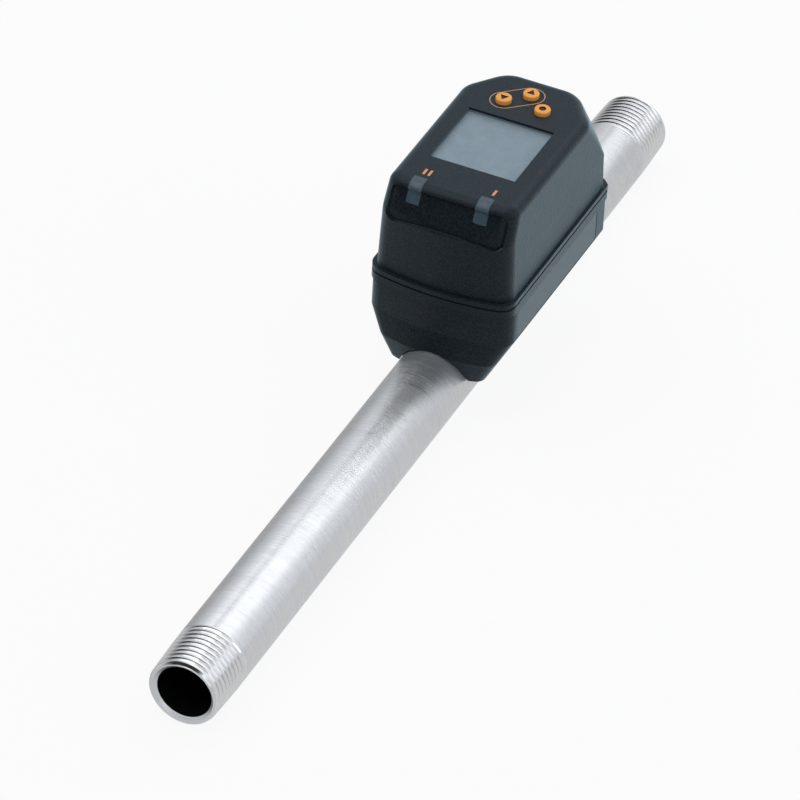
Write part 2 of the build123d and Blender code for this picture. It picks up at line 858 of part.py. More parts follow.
# Set button: a round dimple
with BuildPart() as button_set:
    add(caps[2].part)
    with BuildSketch(Plane.XY.offset(button_top)):
        with Locations(button_set_place):
            Circle(dot_diameter / 2)
    extrude(amount=-mark_depth, mode=Mode.SUBTRACT)

# Screws from below that join the two halves: a cap head with a hexagon socket
with BuildPart() as housing_screws:
    with BuildSketch(Plane.XY.offset(screw_seat - screw_head_height)):
        with Locations(*screw_places):
            Circle(screw_head_diameter / 2)
    extrude(amount=screw_head_height)
    with BuildSketch(Plane.XY.offset(screw_seat)):
        with Locations(*screw_places):
            Circle(screw_diameter / 2)
    extrude(amount=screw_tip - screw_seat)
    with BuildSketch(Plane.XY.offset(screw_seat - screw_head_height)):
        with Locations(*screw_places):
            RegularPolygon(hex_key / 2, 6, major_radius=False)
    extrude(amount=hex_key_depth, mode=Mode.SUBTRACT)

# Connector shell: a flange on the pad, a threaded collar outside and a threaded tail inside
with BuildPart() as connector_shell:
    with BuildSketch(connector_plane):
        with BuildLine():
            Polyline(
                (tail_end, connector_bore_diameter / 2),
                (tail_end, connector_tube_diameter / 2),
                (flange_face, connector_tube_diameter / 2),
                (flange_face, connector_tube_diameter / 2 + fit_gap),
                (flange_face + connector_ring_section, connector_tube_diameter / 2 + fit_gap),
                (flange_face + connector_ring_section, ring_groove_radius),
                (flange_face, ring_groove_radius),
                (flange_face, connector_flange_diameter / 2),
                (thread_root, connector_flange_diameter / 2),
                (thread_root, connector_thread_diameter / 2),
                (connector_mouth - connector_chamfer, connector_thread_diameter / 2),
                (connector_mouth, connector_thread_diameter / 2 - connector_chamfer),
                (connector_mouth, connector_bore_diameter / 2),
                close=True,
            )
        make_face()
    revolve(axis=connector_axis)

# Insert of the connector: a plug of plastic with a key rib along the wall of the socket
with BuildPart() as connector_insert:
    with BuildSketch(Plane.YZ.offset(tail_end)) as insert_section:
        with Locations((0, connector_height)):
            Circle(connector_bore_diameter / 2 - fit_gap)
            with Locations((0, 0), *pin_spots):
                Circle(pin_diameter / 2 + fit_gap, mode=Mode.SUBTRACT)
    extrude(amount=insert_face - tail_end)
    with BuildSketch(Plane.YZ.offset(insert_face)):
        with Locations((0, connector_height + connector_bore_diameter / 2 - fit_gap - key_height)):
            Rectangle(key_width, key_height, align=(Align.CENTER, Align.MIN))
        with Locations((0, connector_height)):
            Circle(connector_bore_diameter / 2 - fit_gap, mode=Mode.INTERSECT)
    extrude(amount=connector_depth - pin_recess)

# Contact pins of the connector: four on a circle and one in the middle
with BuildPart() as connector_pins:
    with BuildSketch(Plane.YZ.offset(tail_end - pin_tail)):
        with Locations((0, connector_height)):
            with Locations((0, 0), *pin_spots):
                Circle(pin_diameter / 2)
    extrude(amount=connector_mouth - pin_recess - tail_end + pin_tail)

# Square ring seal under the connector's flange
with BuildPart() as connector_seal:
    with BuildSketch(connector_plane):
        with Locations((flange_face + connector_ring_section / 2, ring_middle_radius)):
            Rectangle(connector_ring_section, connector_ring_section)
    revolve(axis=connector_axis)

# Nut that holds the connector from inside
with BuildPart() as connector_nut:
    with BuildSketch(Plane.YZ.offset(housing_end - wall - fit_gap)):
        with Locations((0, connector_height)):
            RegularPolygon(connector_nut_flats / 2, 6, major_radius=False)
            Circle(connector_tube_diameter / 2 + fit_gap, mode=Mode.SUBTRACT)
    extrude(amount=-connector_nut_height)

meter_pipe.part.label = "meter_pipe"
export_step(meter_pipe.part, "parts/meter_pipe.step")
probe_socket.part.label = "probe_socket"
export_step(probe_socket.part, "parts/probe_socket.step")
probe_body.part.label = "probe_body"
export_step(probe_body.part, "parts/probe_body.step")
probe_seal.part.label = "probe_seal"
export_step(probe_seal.part, "parts/probe_seal.step")
heated_sensor.part.label = "heated_sensor"
export_step(heated_sensor.part, "parts/heated_sensor.step")
reference_sensor.part.label = "reference_sensor"
export_step(reference_sensor.part, "parts/reference_sensor.step")
housing_nut.part.label = "housing_nut"
export_step(housing_nut.part, "parts/housing_nut.step")
probe_nut.part.label = "probe_nut"
export_step(probe_nut.part, "parts/probe_nut.step")
lower_housing.part.label = "lower_housing"
export_step(lower_housing.part, "parts/lower_housing.step")
inlet_pipe_seal.part.label = "inlet_pipe_seal"
export_step(inlet_pipe_seal.part, "parts/inlet_pipe_seal.step")
outlet_pipe_seal.part.label = "outlet_pipe_seal"
export_step(outlet_pipe_seal.part, "parts/outlet_pipe_seal.step")
side_panel_left.part.label = "side_panel_left"
export_step(side_panel_left.part, "parts/side_panel_left.step")
side_panel_right.part.label = "side_panel_right"
export_step(side_panel_right.part, "parts/side_panel_right.step")
housing_gasket.part.label = "housing_gasket"
export_step(housing_gasket.part, "parts/housing_gasket.step")
housing_cover.part.label = "housing_cover"
export_step(housing_cover.part, "parts/housing_cover.step")
light_guide_left.part.label = "light_guide_left"
export_step(light_guide_left.part, "parts/light_guide_left.step")
light_guide_right.part.label = "light_guide_right"
export_step(light_guide_right.part, "parts/light_guide_right.step")
status_lamps.part.label = "status_lamps"
export_step(status_lamps.part, "parts/status_lamps.step")
display_glass.part.label = "display_glass"
export_step(display_glass.part, "parts/display_glass.step")
display_cell.part.label = "display_cell"
export_step(display_cell.part, "parts/display_cell.step")
display_carrier.part.label = "display_carrier"
export_step(display_carrier.part, "parts/display_carrier.step")
display_board.part.label = "display_board"
export_step(display_board.part, "parts/display_board.step")
board_spacers.part.label = "board_spacers"
export_step(board_spacers.part, "parts/board_spacers.step")
main_board.part.label = "main_board"
export_step(main_board.part, "parts/main_board.step")
board_screws.part.label = "board_screws"
export_step(board_screws.part, "parts/board_screws.step")
board_connector.part.label = "board_connector"
export_step(board_connector.part, "parts/board_connector.step")
probe_plug.part.label = "probe_plug"
export_step(probe_plug.part, "parts/probe_plug.step")
button_switches.part.label = "button_switches"
export_step(button_switches.part, "parts/button_switches.step")
button_up_plunger.part.label = "button_up_plunger"
export_step(button_up_plunger.part, "parts/button_up_plunger.step")
button_down_plunger.part.label = "button_down_plunger"
export_step(button_down_plunger.part, "parts/button_down_plunger.step")
button_set_plunger.part.label = "button_set_plunger"
export_step(button_set_plunger.part, "parts/button_set_plunger.step")
button_up.part.label = "button_up"
export_step(button_up.part, "parts/button_up.step")
button_down.part.label = "button_down"
export_step(button_down.part, "parts/button_down.step")
button_set.part.label = "button_set"
export_step(button_set.part, "parts/button_set.step")
housing_screws.part.label = "housing_screws"
export_step(housing_screws.part, "parts/housing_screws.step")
connector_shell.part.label = "connector_shell"
export_step(connector_shell.part, "parts/connector_shell.step")
connector_insert.part.label = "connector_insert"
export_step(connector_insert.part, "parts/connector_insert.step")
connector_pins.part.label = "connector_pins"
export_step(connector_pins.part, "parts/connector_pins.step")
connector_seal.part.label = "connector_seal"
export_step(connector_seal.part, "parts/connector_seal.step")
connector_nut.part.label = "connector_nut"
export_step(connector_nut.part, "parts/connector_nut.step")
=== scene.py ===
import json
import math
from contextlib import contextmanager

import bpy
from mathutils import Matrix, Vector

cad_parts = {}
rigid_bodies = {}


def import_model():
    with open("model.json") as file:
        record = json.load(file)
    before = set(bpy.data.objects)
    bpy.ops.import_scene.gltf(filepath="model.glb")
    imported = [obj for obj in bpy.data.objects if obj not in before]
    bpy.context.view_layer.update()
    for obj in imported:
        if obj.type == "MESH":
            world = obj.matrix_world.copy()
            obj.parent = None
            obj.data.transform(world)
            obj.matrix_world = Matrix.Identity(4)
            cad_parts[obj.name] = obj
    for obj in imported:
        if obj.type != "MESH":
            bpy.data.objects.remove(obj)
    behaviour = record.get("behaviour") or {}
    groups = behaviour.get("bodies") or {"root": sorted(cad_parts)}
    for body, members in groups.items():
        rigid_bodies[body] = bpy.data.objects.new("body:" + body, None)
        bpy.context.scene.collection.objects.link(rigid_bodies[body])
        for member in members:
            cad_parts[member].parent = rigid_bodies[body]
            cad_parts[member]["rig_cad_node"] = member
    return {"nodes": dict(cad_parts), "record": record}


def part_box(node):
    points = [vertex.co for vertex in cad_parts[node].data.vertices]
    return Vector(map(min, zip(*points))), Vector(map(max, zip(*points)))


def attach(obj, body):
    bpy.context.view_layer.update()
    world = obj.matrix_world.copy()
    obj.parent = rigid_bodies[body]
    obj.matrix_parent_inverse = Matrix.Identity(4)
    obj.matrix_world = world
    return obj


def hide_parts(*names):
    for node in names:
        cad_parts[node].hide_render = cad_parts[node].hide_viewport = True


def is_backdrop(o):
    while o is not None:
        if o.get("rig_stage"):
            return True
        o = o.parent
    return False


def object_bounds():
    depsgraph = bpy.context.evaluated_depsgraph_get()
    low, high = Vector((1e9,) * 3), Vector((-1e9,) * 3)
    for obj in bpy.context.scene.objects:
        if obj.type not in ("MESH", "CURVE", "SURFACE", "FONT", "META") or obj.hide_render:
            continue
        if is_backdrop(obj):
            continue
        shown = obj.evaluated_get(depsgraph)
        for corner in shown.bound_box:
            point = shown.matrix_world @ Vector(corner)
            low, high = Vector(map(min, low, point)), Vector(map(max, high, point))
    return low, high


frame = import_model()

bl_info = {
    "name": "Compressed air flow meter",
    "version": (1, 0, 0),
    "blender": (4, 5, 0),
    "location": "View3D > Sidebar > Flow meter",
    "description": "Dresses the packed flow meter with threads, buttons, marks, finishes and a studio",
    "category": "Object",
}

MM = 0.001
TURN = 2 * math.pi
BODY = "meter"

# Each button, with the turn of its arrow in degrees or None for a round mark
BUTTONS = {"up": 180.0, "down": 0.0, "set": None}

# Distances within which doubles are merged, in clean meshes and in cut ones
FINE_MERGE = MM / 10000
MERGE = MM / 1000

# Slack of a test of a radius, and of a test of a side, the latter in square metres
RADIUS_SLACK = MM / 100
SIDE_SLACK = 1e-6

# A face of the pipe with more than this much of X in its normal isn't a wall of the bore
END_FACE = 0.5

# Edges sharper than this many degrees stay sharp, on most pieces and on the button caps
SHARP_EDGE = 30.0
SHARP_CAP_EDGE = 40.0

# Share of a pitch that the flat at the root of a thread takes, and turns of a groove before
# the end face
ROOT_SHARE = 0.12
LEAD_IN = 2

# How far the collar of a cap lies under the top of the cover, its thickness, and the steps of
# the rounded rim
COLLAR_DROP = 2.5 * MM
COLLAR_THICKNESS = 0.9 * MM
RIM_STEPS = 6

# Steps of a printed bar's rounded corners, and sides of the circle that is drawn out into the line
BAR_STEPS = 3
LINE_SIDES = 64

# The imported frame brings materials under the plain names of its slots
FINISH_PREFIX = "finish_"

# Height over which the grain of the cover fades under its smooth top, and what is left of it
GRAIN_FADE = 1.6 * MM
BARE_GRAIN = 0.15

# What gloss sees: the level of the floor and that of the horizon, and how much the latter grows
# up to the zenith
FLOOR_GLOSS = 0.78
HORIZON_GLOSS = 0.66
GLOSS_RISE = 0.4

# A dark place beyond the inlet end and a dim one at the far left, which gloss sees too: the
# direction back from it, the two cosines between which it fades in, and its level
BEYOND_INLET = ((0.93, -0.3, -0.2), 0.8, 0.92, 0.04)
FAR_LEFT = ((-0.6, -0.75, 0.25), 0.75, 0.95, 0.55)

# Share of its glow that the floor shows to the camera and to gloss over its lit colour, and
# strength of the world as a light
FLOOR_GLOW = 0.9
WORLD_LIGHT = 0.42

# Each lamp's place, the point that it looks at, its two sides, its power and its colour
MIDDLE = (0.17, 0.0, 0.03)
LAMPS = {
    "key_lamp": ((0.1, 0.3, 1.1), MIDDLE, (1.0, 1.0), 4.2, (1.0, 0.99, 0.97)),
    "side_lamp": ((0.35, -1.1, 0.55), MIDDLE, (0.9, 0.7), 2.0, (0.9, 0.95, 1.0)),
    "front_lamp": ((-1.1, -0.45, 0.2), (0.02, 0.0, 0.0), (0.5, 0.4), 0.75, (1.0, 1.0, 1.0)),
    "band_lamp": ((1.35, -0.3, 1.1), MIDDLE, (1.2, 1.16), 4.3, (1.0, 1.0, 1.0)),
}


# Helpers for modelling

def deselect_all():
    """Leaves edit mode and deselects every object."""
    if bpy.context.object is not None and bpy.context.object.mode != "OBJECT":
        bpy.ops.object.mode_set(mode="OBJECT")
    bpy.ops.object.select_all(action="DESELECT")


def select_only(*pieces):
    """Selects these objects, and makes the first one active."""
    deselect_all()
    for piece in pieces:
        piece.select_set(True)
    bpy.context.view_layer.objects.active = pieces[0]


@contextmanager
def editing(piece):
    """Edit mode on one object, with everything in it selected."""
    select_only(piece)
    bpy.ops.object.mode_set(mode="EDIT")
    bpy.ops.mesh.select_mode(type="VERT")
    bpy.ops.mesh.select_all(action="SELECT")
    yield piece
    bpy.ops.object.mode_set(mode="OBJECT")


def named(name):
    """The active object, under a name that its mesh shares."""
    piece = bpy.context.object
    piece.name = name
    piece.data.name = name
    return piece


def close_up(piece, merge=FINE_MERGE):
    """Merges doubles and turns the faces outwards."""
    with editing(piece):
        bpy.ops.mesh.remove_doubles(threshold=merge)
        bpy.ops.mesh.normals_make_consistent(inside=False)


def smooth(piece, angle=SHARP_EDGE):
    """Smooth shading, except across edges sharper than the angle in degrees."""
    select_only(piece)
    bpy.ops.object.shade_smooth_by_angle(angle=math.radians(angle))


def draw_line(name, points, closed=False):
    """Line through the points, drawn from one vertex by one extrusion after another."""
    deselect_all()
    bpy.ops.mesh.primitive_plane_add(size=MM, location=(0, 0, 0))
    piece = named(name)
    with editing(piece):
        bpy.ops.mesh.merge(type="CENTER")
        bpy.ops.transform.translate(value=points[0])
        for here, there in zip(points, points[1:]):
            step = Vector(there) - Vector(here)
            bpy.ops.mesh.extrude_region_move(TRANSFORM_OT_translate={"value": step})
        if closed:
            step = Vector(points[0]) - Vector(points[-1])
            bpy.ops.mesh.extrude_region_move(TRANSFORM_OT_translate={"value": step})
            bpy.ops.mesh.select_all(action="SELECT")
            bpy.ops.mesh.remove_doubles(threshold=MERGE)
    return piece


def turned(name, points, axis, centre, steps, closed=False):
    """Lathe work: the line through the points, spun once round an axis."""
    piece = draw_line(name, points, closed)
    with editing(piece):
        bpy.ops.mesh.spin(steps=steps, angle=TURN, center=centre, axis=axis)
    close_up(piece)
    return piece


def apply_boolean(piece, tool, operation):
    """Cuts or joins a piece with a tool, which is then deleted."""
    select_only(piece)
    bpy.ops.object.modifier_add(type="BOOLEAN")
    work = piece.modifiers[-1]
    work.operation = operation
    work.object = tool
    work.solver = "EXACT"
    work.material_mode = "TRANSFER"
    bpy.ops.object.modifier_apply(modifier=work.name)
    select_only(tool)
    bpy.ops.object.delete()
    return piece


def arc(centre, radius, start, end, count):
    """Points on an arc, angles in degrees, as pairs of along and out."""
    steps = [math.radians(start + (end - start) * i / count) for i in range(count + 1)]
    return [(centre[0] + radius * math.cos(a), centre[1] + radius * math.sin(a)) for a in steps]


def thread_cutter(name, start, end, pitch, major, depth, flank, taper, steps):
    """Groove of a thread round the X axis, as a closed helical bar from start to end."""
    root = major - depth
    out = major + depth
    root_half = pitch * ROOT_SHARE / 2
    top_half = root_half + (out - root) * math.tan(math.radians(flank))
    section = [
        (start - top_half, 0, out),
        (start - root_half, 0, root),
        (start + root_half, 0, root),
        (start + top_half, 0, out),
    ]
    cutter = draw_line(name, section, closed=True)
    select_only(cutter)
    bpy.ops.object.modifier_add(type="SCREW")
    screw = cutter.modifiers[-1]
    screw.axis = "X"
    screw.angle = TURN
    screw.screw_offset = pitch
    screw.iterations = math.ceil((end - start) / pitch)
    screw.steps = screw.render_steps = steps
    screw.use_merge_vertices = False
    bpy.ops.object.modifier_apply(modifier=screw.name)
    with editing(cutter):
        bpy.ops.mesh.remove_doubles(threshold=FINE_MERGE)
        bpy.ops.mesh.select_all(action="DESELECT")
        bpy.ops.mesh.select_non_manifold()
        bpy.ops.mesh.fill_holes(sides=len(section))
        bpy.ops.mesh.select_all(action="SELECT")
        bpy.ops.mesh.normals_make_consistent(inside=False)
    if taper:
        select_only(cutter)
        bpy.ops.object.modifier_add(type="SIMPLE_DEFORM")
        cone = cutter.modifiers[-1]
        cone.deform_method = "TAPER"
        cone.deform_axis = "X"
        places = [vertex.co.x for vertex in cutter.data.vertices]
        span = max(places) - min(places)
        cone.factor = span * taper / (2 * major)
        bpy.ops.object.modifier_apply(modifier=cone.name)
    return cutter


def turn_round(piece, centre):
    """Turns a piece by half a turn about the Z axis through a centre."""
    with editing(piece):
        bpy.ops.transform.rotate(value=math.pi, orient_axis="Z", center_override=centre)


def duplicate(piece, name):
    """Copy of a piece with a mesh of its own."""
    select_only(piece)
    bpy.ops.object.duplicate(linked=False)
    return named(name)


def finish_piece(piece, material, slot, body, *nodes):
    """Gives a piece its material, its body and the nodes that it stands for. The slot is not used."""
    if not piece.data.materials:
        piece.data.materials.append(material)
    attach(piece, body)
    if nodes:
        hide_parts(*nodes)


# Shader maths

class Value:
    """A socket of a node, with the operators that materials use."""

    def __init__(self, tree, socket):
        self.tree = tree
        self.socket = socket

    def math(self, operation, *others):
        return add_node(self.tree, "ShaderNodeMath", {"operation": operation}, [self, *others])

    def __add__(self, other):
        return self.math("ADD", other)

    def __radd__(self, other):
        return self.math("ADD", other)

    def __sub__(self, other):
        return self.math("SUBTRACT", other)

    def __rsub__(self, other):
        flipped = self.math("MULTIPLY", -1.0)
        return flipped.math("ADD", other)

    def __mul__(self, other):
        return self.math("MULTIPLY", other)

    def __rmul__(self, other):
        return self.math("MULTIPLY", other)


def add_node(tree, kind, settings=None, inputs=None, output=0):
    """Adds a node: first its settings, then the values or links of its inputs."""
    node = tree.nodes.new(kind)
    for key, value in (settings or {}).items():
        setattr(node, key, value)
    pairs = enumerate(inputs) if isinstance(inputs, list) else (inputs or {}).items()
    for key, value in pairs:
        if isinstance(value, Value):
            tree.links.new(value.socket, node.inputs[key])
        else:
            node.inputs[key].default_value = value
    return Value(tree, node.outputs[output]) if len(node.outputs) else node


class Finish:
    """A material built round one Principled shader."""

    def __init__(self, name):
        self.material = bpy.data.materials.new(FINISH_PREFIX + name)
        self.material.use_nodes = True
        self.tree = self.material.node_tree
        self.shader = self.tree.nodes["Principled BSDF"]
        self.place = add_node(self.tree, "ShaderNodeTexCoord", output=3)

    def set(self, **values):
        """Sets sockets of the shader, spaces written as underscores."""
        for key, value in values.items():
            socket = self.shader.inputs[key.replace("_", " ")]
            if isinstance(value, Value):
                self.tree.links.new(value.socket, socket)
            else:
                socket.default_value = value
        return self

    def stretched(self, scale):
        """Object coordinates, scaled differently along each axis."""
        return add_node(self.tree, "ShaderNodeMapping", None, {"Vector": self.place, "Scale": scale})

    def noise(self, scale, detail=3.0, roughness=0.5, place=None):
        """Noise between 0 and 1."""
        where = place or self.place
        inputs = {"Vector": where, "Scale": scale, "Detail": detail, "Roughness": roughness}
        return add_node(self.tree, "ShaderNodeTexNoise", None, inputs)

    def cells(self, scale, place=None):
        """Distance to the nearest of many scattered points."""
        where = place or self.place
        return add_node(self.tree, "ShaderNodeTexVoronoi", None, {"Vector": where, "Scale": scale})

    def spread(self, value, low, high, new_low, new_high):
        """Maps a range of values to another, and stops at its ends."""
        inputs = {"Value": value, 1: low, 2: high, 3: new_low, 4: new_high}
        return add_node(self.tree, "ShaderNodeMapRange", {"clamp": True}, inputs)

    def between(self, noise, low, high):
        """Maps the usual range of a noise to another."""
        return self.spread(noise, 0.3, 0.7, low, high)

    def contrast(self, noise):
        """Noise that reaches from 0 to 1."""
        return self.spread(noise, 0.35, 0.65, 0.0, 1.0)

    def blend(self, factor, first, second):
        """Colour between two colours."""
        settings = {"data_type": "RGBA"}
        inputs = {"Factor": factor, 6: first, 7: second}
        return add_node(self.tree, "ShaderNodeMix", settings, inputs, output=2)

    def bump(self, height, strength, distance):
        """Normal that follows a height."""
        inputs = {"Height": height, "Strength": strength, "Distance": distance}
        return add_node(self.tree, "ShaderNodeBump", None, inputs)


def tint(red, green, blue):
    """Opaque colour from linear parts."""
    return (red, green, blue, 1.0)


def tones(piece):
    """The darkest and the palest tone of a piece, as the user has set them."""
    colours = bpy.context.scene.flow_meter_colours
    return tuple(getattr(colours, piece + "_dark")), tuple(getattr(colours, piece + "_pale"))


# Finishes

def brushed_stainless():
    """Stainless pipe, brushed round its girth, with faint drawing marks along it."""
    finish = Finish("stainless")
    rings = finish.noise(1.0, detail=2.0, place=finish.stretched((9000.0, 60.0, 60.0)))
    bands = finish.noise(1.0, detail=2.0, place=finish.stretched((260.0, 25.0, 25.0)))
    cloud = finish.noise(18.0, detail=2.0)
    tone = finish.between(rings * 0.6 + bands * 0.25 + cloud * 0.15, 0.0, 1.0)
    finish.set(
        Base_Color=finish.blend(tone, *tones("steel")),
        Metallic=0.85,
        Roughness=finish.between(rings, 0.25, 0.36),
        Normal=finish.bump(rings, 0.7, 0.06 * MM),
    )
    return finish.material


def bore_steel():
    """Inside of the pipe: bare rolled steel, its colour darkened far below steel's own as painted
    shade of the bore.
    """
    finish = Finish("bore_steel")
    marks = finish.noise(1.0, detail=2.0, place=finish.stretched((400.0, 2500.0, 2500.0)))
    finish.set(
        # Painted shade: these near-black tones stand in for the shade inside the bore, not for the
        # steel's own colour
        Base_Color=finish.blend(marks, tint(0.035, 0.035, 0.036), tint(0.06, 0.06, 0.062)),
        Metallic=1.0,
        Roughness=finish.between(marks, 0.4, 0.5),
    )
    return finish.material


def thread_steel():
    """Cut thread: brighter than the pipe, with fine turning marks."""
    finish = Finish("thread_steel")
    marks = finish.noise(1.0, detail=2.0, place=finish.stretched((14000.0, 300.0, 300.0)))
    tone = finish.between(marks, 0.0, 1.0)
    finish.set(
        Base_Color=finish.blend(tone, *tones("thread")),
        Metallic=1.0,
        Roughness=finish.between(marks, 0.13, 0.22),
        Normal=finish.bump(marks, 0.1, 0.02 * MM),
    )
    return finish.material


def grained_plastic(name, dark, pale, grain, depth, rough, gloss=0.4, sheen=0.0, bare_above=None):
    """Moulded plastic with an eroded grain, which fades out towards a height if one is given."""
    finish = Finish(name)
    pits = finish.cells(1.0 / grain)
    cloud = finish.noise(0.6 / grain, detail=4.0)
    height = pits * 0.6 + cloud * 0.4
    if bare_above is not None:
        up = add_node(finish.tree, "ShaderNodeSeparateXYZ", None, [finish.place], output="Z")
        height = height * finish.spread(up, bare_above - GRAIN_FADE, bare_above, 1.0, BARE_GRAIN)
    speckle = finish.noise(1.1 / grain, detail=1.0)
    tone = finish.spread(speckle, 0.4, 0.62, 0.0, 1.0)
    finish.set(
        Base_Color=finish.blend(tone, dark, pale),
        Roughness=finish.between(cloud, rough - 0.06, rough + 0.06),
        Specular_IOR_Level=gloss,
        Specular_Tint=tint(0.76, 0.9, 1.0),
        Sheen_Weight=sheen,
        Sheen_Roughness=0.35,
        Sheen_Tint=tint(0.57, 0.85, 1.0),
        Normal=finish.bump(height, 0.5, depth),
    )
    return finish.material


def housing_plastic():
    """Grained black plastic of both halves of the housing."""
    return grained_plastic(
        "housing_plastic",
        *tones("housing"),
        0.5 * MM,
        0.16 * MM,
        0.42,
        gloss=0.22,
        sheen=0.84,
        bare_above=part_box("housing_cover")[1].z,
    )


def panel_plastic():
    """Finer and paler plastic of the side panels."""
    return grained_plastic(
        "panel_plastic",
        *tones("panel"),
        0.3 * MM,
        0.015 * MM,
        0.38,
        sheen=0.8,
    )


def rubber_black():
    """Dull rubber of the seals."""
    return grained_plastic(
        "rubber_black", tint(0.008, 0.008, 0.009), tint(0.013, 0.013, 0.014), 0.2 * MM, 0.01 * MM, 0.7
    )


def inner_black():
    """Plain black plastic inside the housing."""
    return grained_plastic(
        "inner_black", tint(0.01, 0.01, 0.011), tint(0.016, 0.016, 0.017), 0.3 * MM, 0.01 * MM, 0.5
    )


def button_orange():
    """Satin orange of the buttons, with a faint mould texture."""
    finish = Finish("button_orange")
    cloud = finish.noise(1800.0, detail=3.0)
    tone = finish.contrast(cloud)
    finish.set(
        Base_Color=finish.blend(tone, *tones("button")),
        Roughness=finish.between(cloud, 0.28, 0.4),
        Normal=finish.bump(cloud, 0.15, 0.01 * MM),
    )
    return finish.material


def mark_dark():
    """Dark ink in the hollow marks of the buttons."""
    finish = Finish("mark_dark")
    cloud = finish.noise(2400.0)
    finish.set(
        Base_Color=finish.blend(cloud, tint(0.03, 0.01, 0.008), tint(0.05, 0.016, 0.012)),
        Roughness=finish.between(cloud, 0.5, 0.65),
    )
    return finish.material


def printed(name, dark, pale):
    """Ink on the cover, a little uneven."""
    finish = Finish(name)
    cloud = finish.noise(2500.0, detail=4.0)
    finish.set(
        Base_Color=finish.blend(finish.between(cloud, 0.0, 1.0), dark, pale),
        Roughness=finish.between(cloud, 0.4, 0.55),
    )
    return finish.material


def printed_orange():
    """Orange ink of the bars."""
    return printed("printed_orange", *tones("bar"))


def printed_line():
    """Dimmer ink of the thin line round two buttons."""
    return printed("printed_line", *tones("line"))


def smoke_lens():
    """Frosted smoke plastic of the light guides."""
    finish = Finish("smoke_lens")
    cloud = finish.noise(900.0, detail=3.0)
    tone = finish.contrast(cloud)
    finish.set(
        Base_Color=finish.blend(tone, *tones("guide")),
        Roughness=finish.between(cloud, 0.3, 0.42),
        Specular_IOR_Level=0.4,
    )
    return finish.material


def lamp_lens():
    """Milky lens of the status lamps."""
    finish = Finish("lamp_lens")
    cloud = finish.noise(1500.0)
    finish.set(
        Base_Color=finish.blend(cloud, tint(0.5, 0.6, 0.5), tint(0.65, 0.72, 0.62)),
        Roughness=finish.between(cloud, 0.15, 0.25),
    )
    return finish.material


def display_window():
    """Clear window of the display, slightly hazy."""
    finish = Finish("display_window")
    haze = finish.noise(240.0, detail=4.0)
    finish.set(
        Base_Color=tint(0.28, 0.36, 0.42),
        Alpha=finish.between(haze, 0.34, 0.4),
        Roughness=finish.between(haze, 0.06, 0.12),
        Specular_IOR_Level=0.5,
    )
    return finish.material


def display_face():
    """Blank reflective display: grey-blue, with a soft mottle in its colour that is a painted
    reflection.
    """
    finish = Finish("display_face")
    mottle_and_reflection = finish.noise(160.0, detail=5.0, roughness=0.6)
    # The mottle in the colour is a painted reflection over the display's own grey-blue; in the
    # roughness it is the surface's own
    tone = finish.contrast(mottle_and_reflection)
    finish.set(
        Base_Color=finish.blend(tone, *tones("display")),
        Roughness=finish.between(mottle_and_reflection, 0.4, 0.5),
    )
    return finish.material


def board_green():
    """Solder mask over glass cloth."""
    finish = Finish("board_green")
    cloth = finish.noise(1200.0, detail=2.0)
    finish.set(
        Base_Color=finish.blend(cloth, tint(0.01, 0.075, 0.03), tint(0.02, 0.12, 0.05)),
        Roughness=finish.between(cloth, 0.3, 0.4),
    )
    return finish.material


def plated_steel():
    """Plated steel of the fasteners and the connector, with fine turning marks."""
    finish = Finish("plated_steel")
    marks = finish.noise(3000.0, detail=2.0)
    tone = finish.between(marks, 0.0, 1.0)
    finish.set(
        Base_Color=finish.blend(tone, tint(0.5, 0.5, 0.49), tint(0.62, 0.62, 0.6)),
        Metallic=1.0,
        Roughness=finish.between(marks, 0.24, 0.36),
    )
    return finish.material


def contact_gold():
    """Gold plating of the contact pins."""
    finish = Finish("contact_gold")
    cloud = finish.noise(2000.0)
    finish.set(
        Base_Color=finish.blend(cloud, tint(0.75, 0.5, 0.18), tint(0.85, 0.6, 0.25)),
        Metallic=1.0,
        Roughness=finish.between(cloud, 0.2, 0.3),
    )
    return finish.material


def seen_light(tree):
    """Whether a ray sees the studio itself, and how bright: white to the camera, dimmer to gloss."""
    path = tree.nodes.new("ShaderNodeLightPath")
    glossy = Value(tree, path.outputs["Is Glossy Ray"])
    straight = Value(tree, path.outputs["Is Camera Ray"])
    straight = straight.math("MAXIMUM", Value(tree, path.outputs["Is Transmission Ray"]))
    back = add_node(tree, "ShaderNodeNewGeometry", output="Incoming")
    fall = add_node(tree, "ShaderNodeSeparateXYZ", None, [back], output="Z")
    below = fall.math("GREATER_THAN", 0.0)
    level = (HORIZON_GLOSS - fall * GLOSS_RISE).math("MAXIMUM", below * FLOOR_GLOSS)
    for side, start, end, least in (BEYOND_INLET, FAR_LEFT):
        aside = add_node(
            tree, "ShaderNodeVectorMath", {"operation": "DOT_PRODUCT"}, [back, side], output="Value"
        )
        level = level * add_node(
            tree, "ShaderNodeMapRange", {"clamp": True}, [aside, start, end, 1.0, least]
        )
    return straight.math("MAXIMUM", glossy), straight.math("MAXIMUM", glossy * level)


def floor_paper():
    """Pale studio floor: white to the camera, apart from the object's shadow."""
    finish = Finish("floor_paper")
    tree = finish.tree
    fibre = finish.noise(30.0)
    finish.set(
        Base_Color=finish.blend(fibre, tint(0.86, 0.86, 0.86), tint(0.88, 0.88, 0.88)),
        Roughness=0.9,
    )
    seen, strength = seen_light(tree)
    white = {"Color": tint(1.0, 1.0, 1.0), "Strength": strength}
    glow = add_node(tree, "ShaderNodeEmission", None, white)
    mixed = add_node(
        tree,
        "ShaderNodeMixShader",
        None,
        [seen * FLOOR_GLOW, Value(tree, finish.shader.outputs[0]), glow],
    )
    tree.links.new(mixed.socket, tree.nodes["Material Output"].inputs["Surface"])
    return finish.material


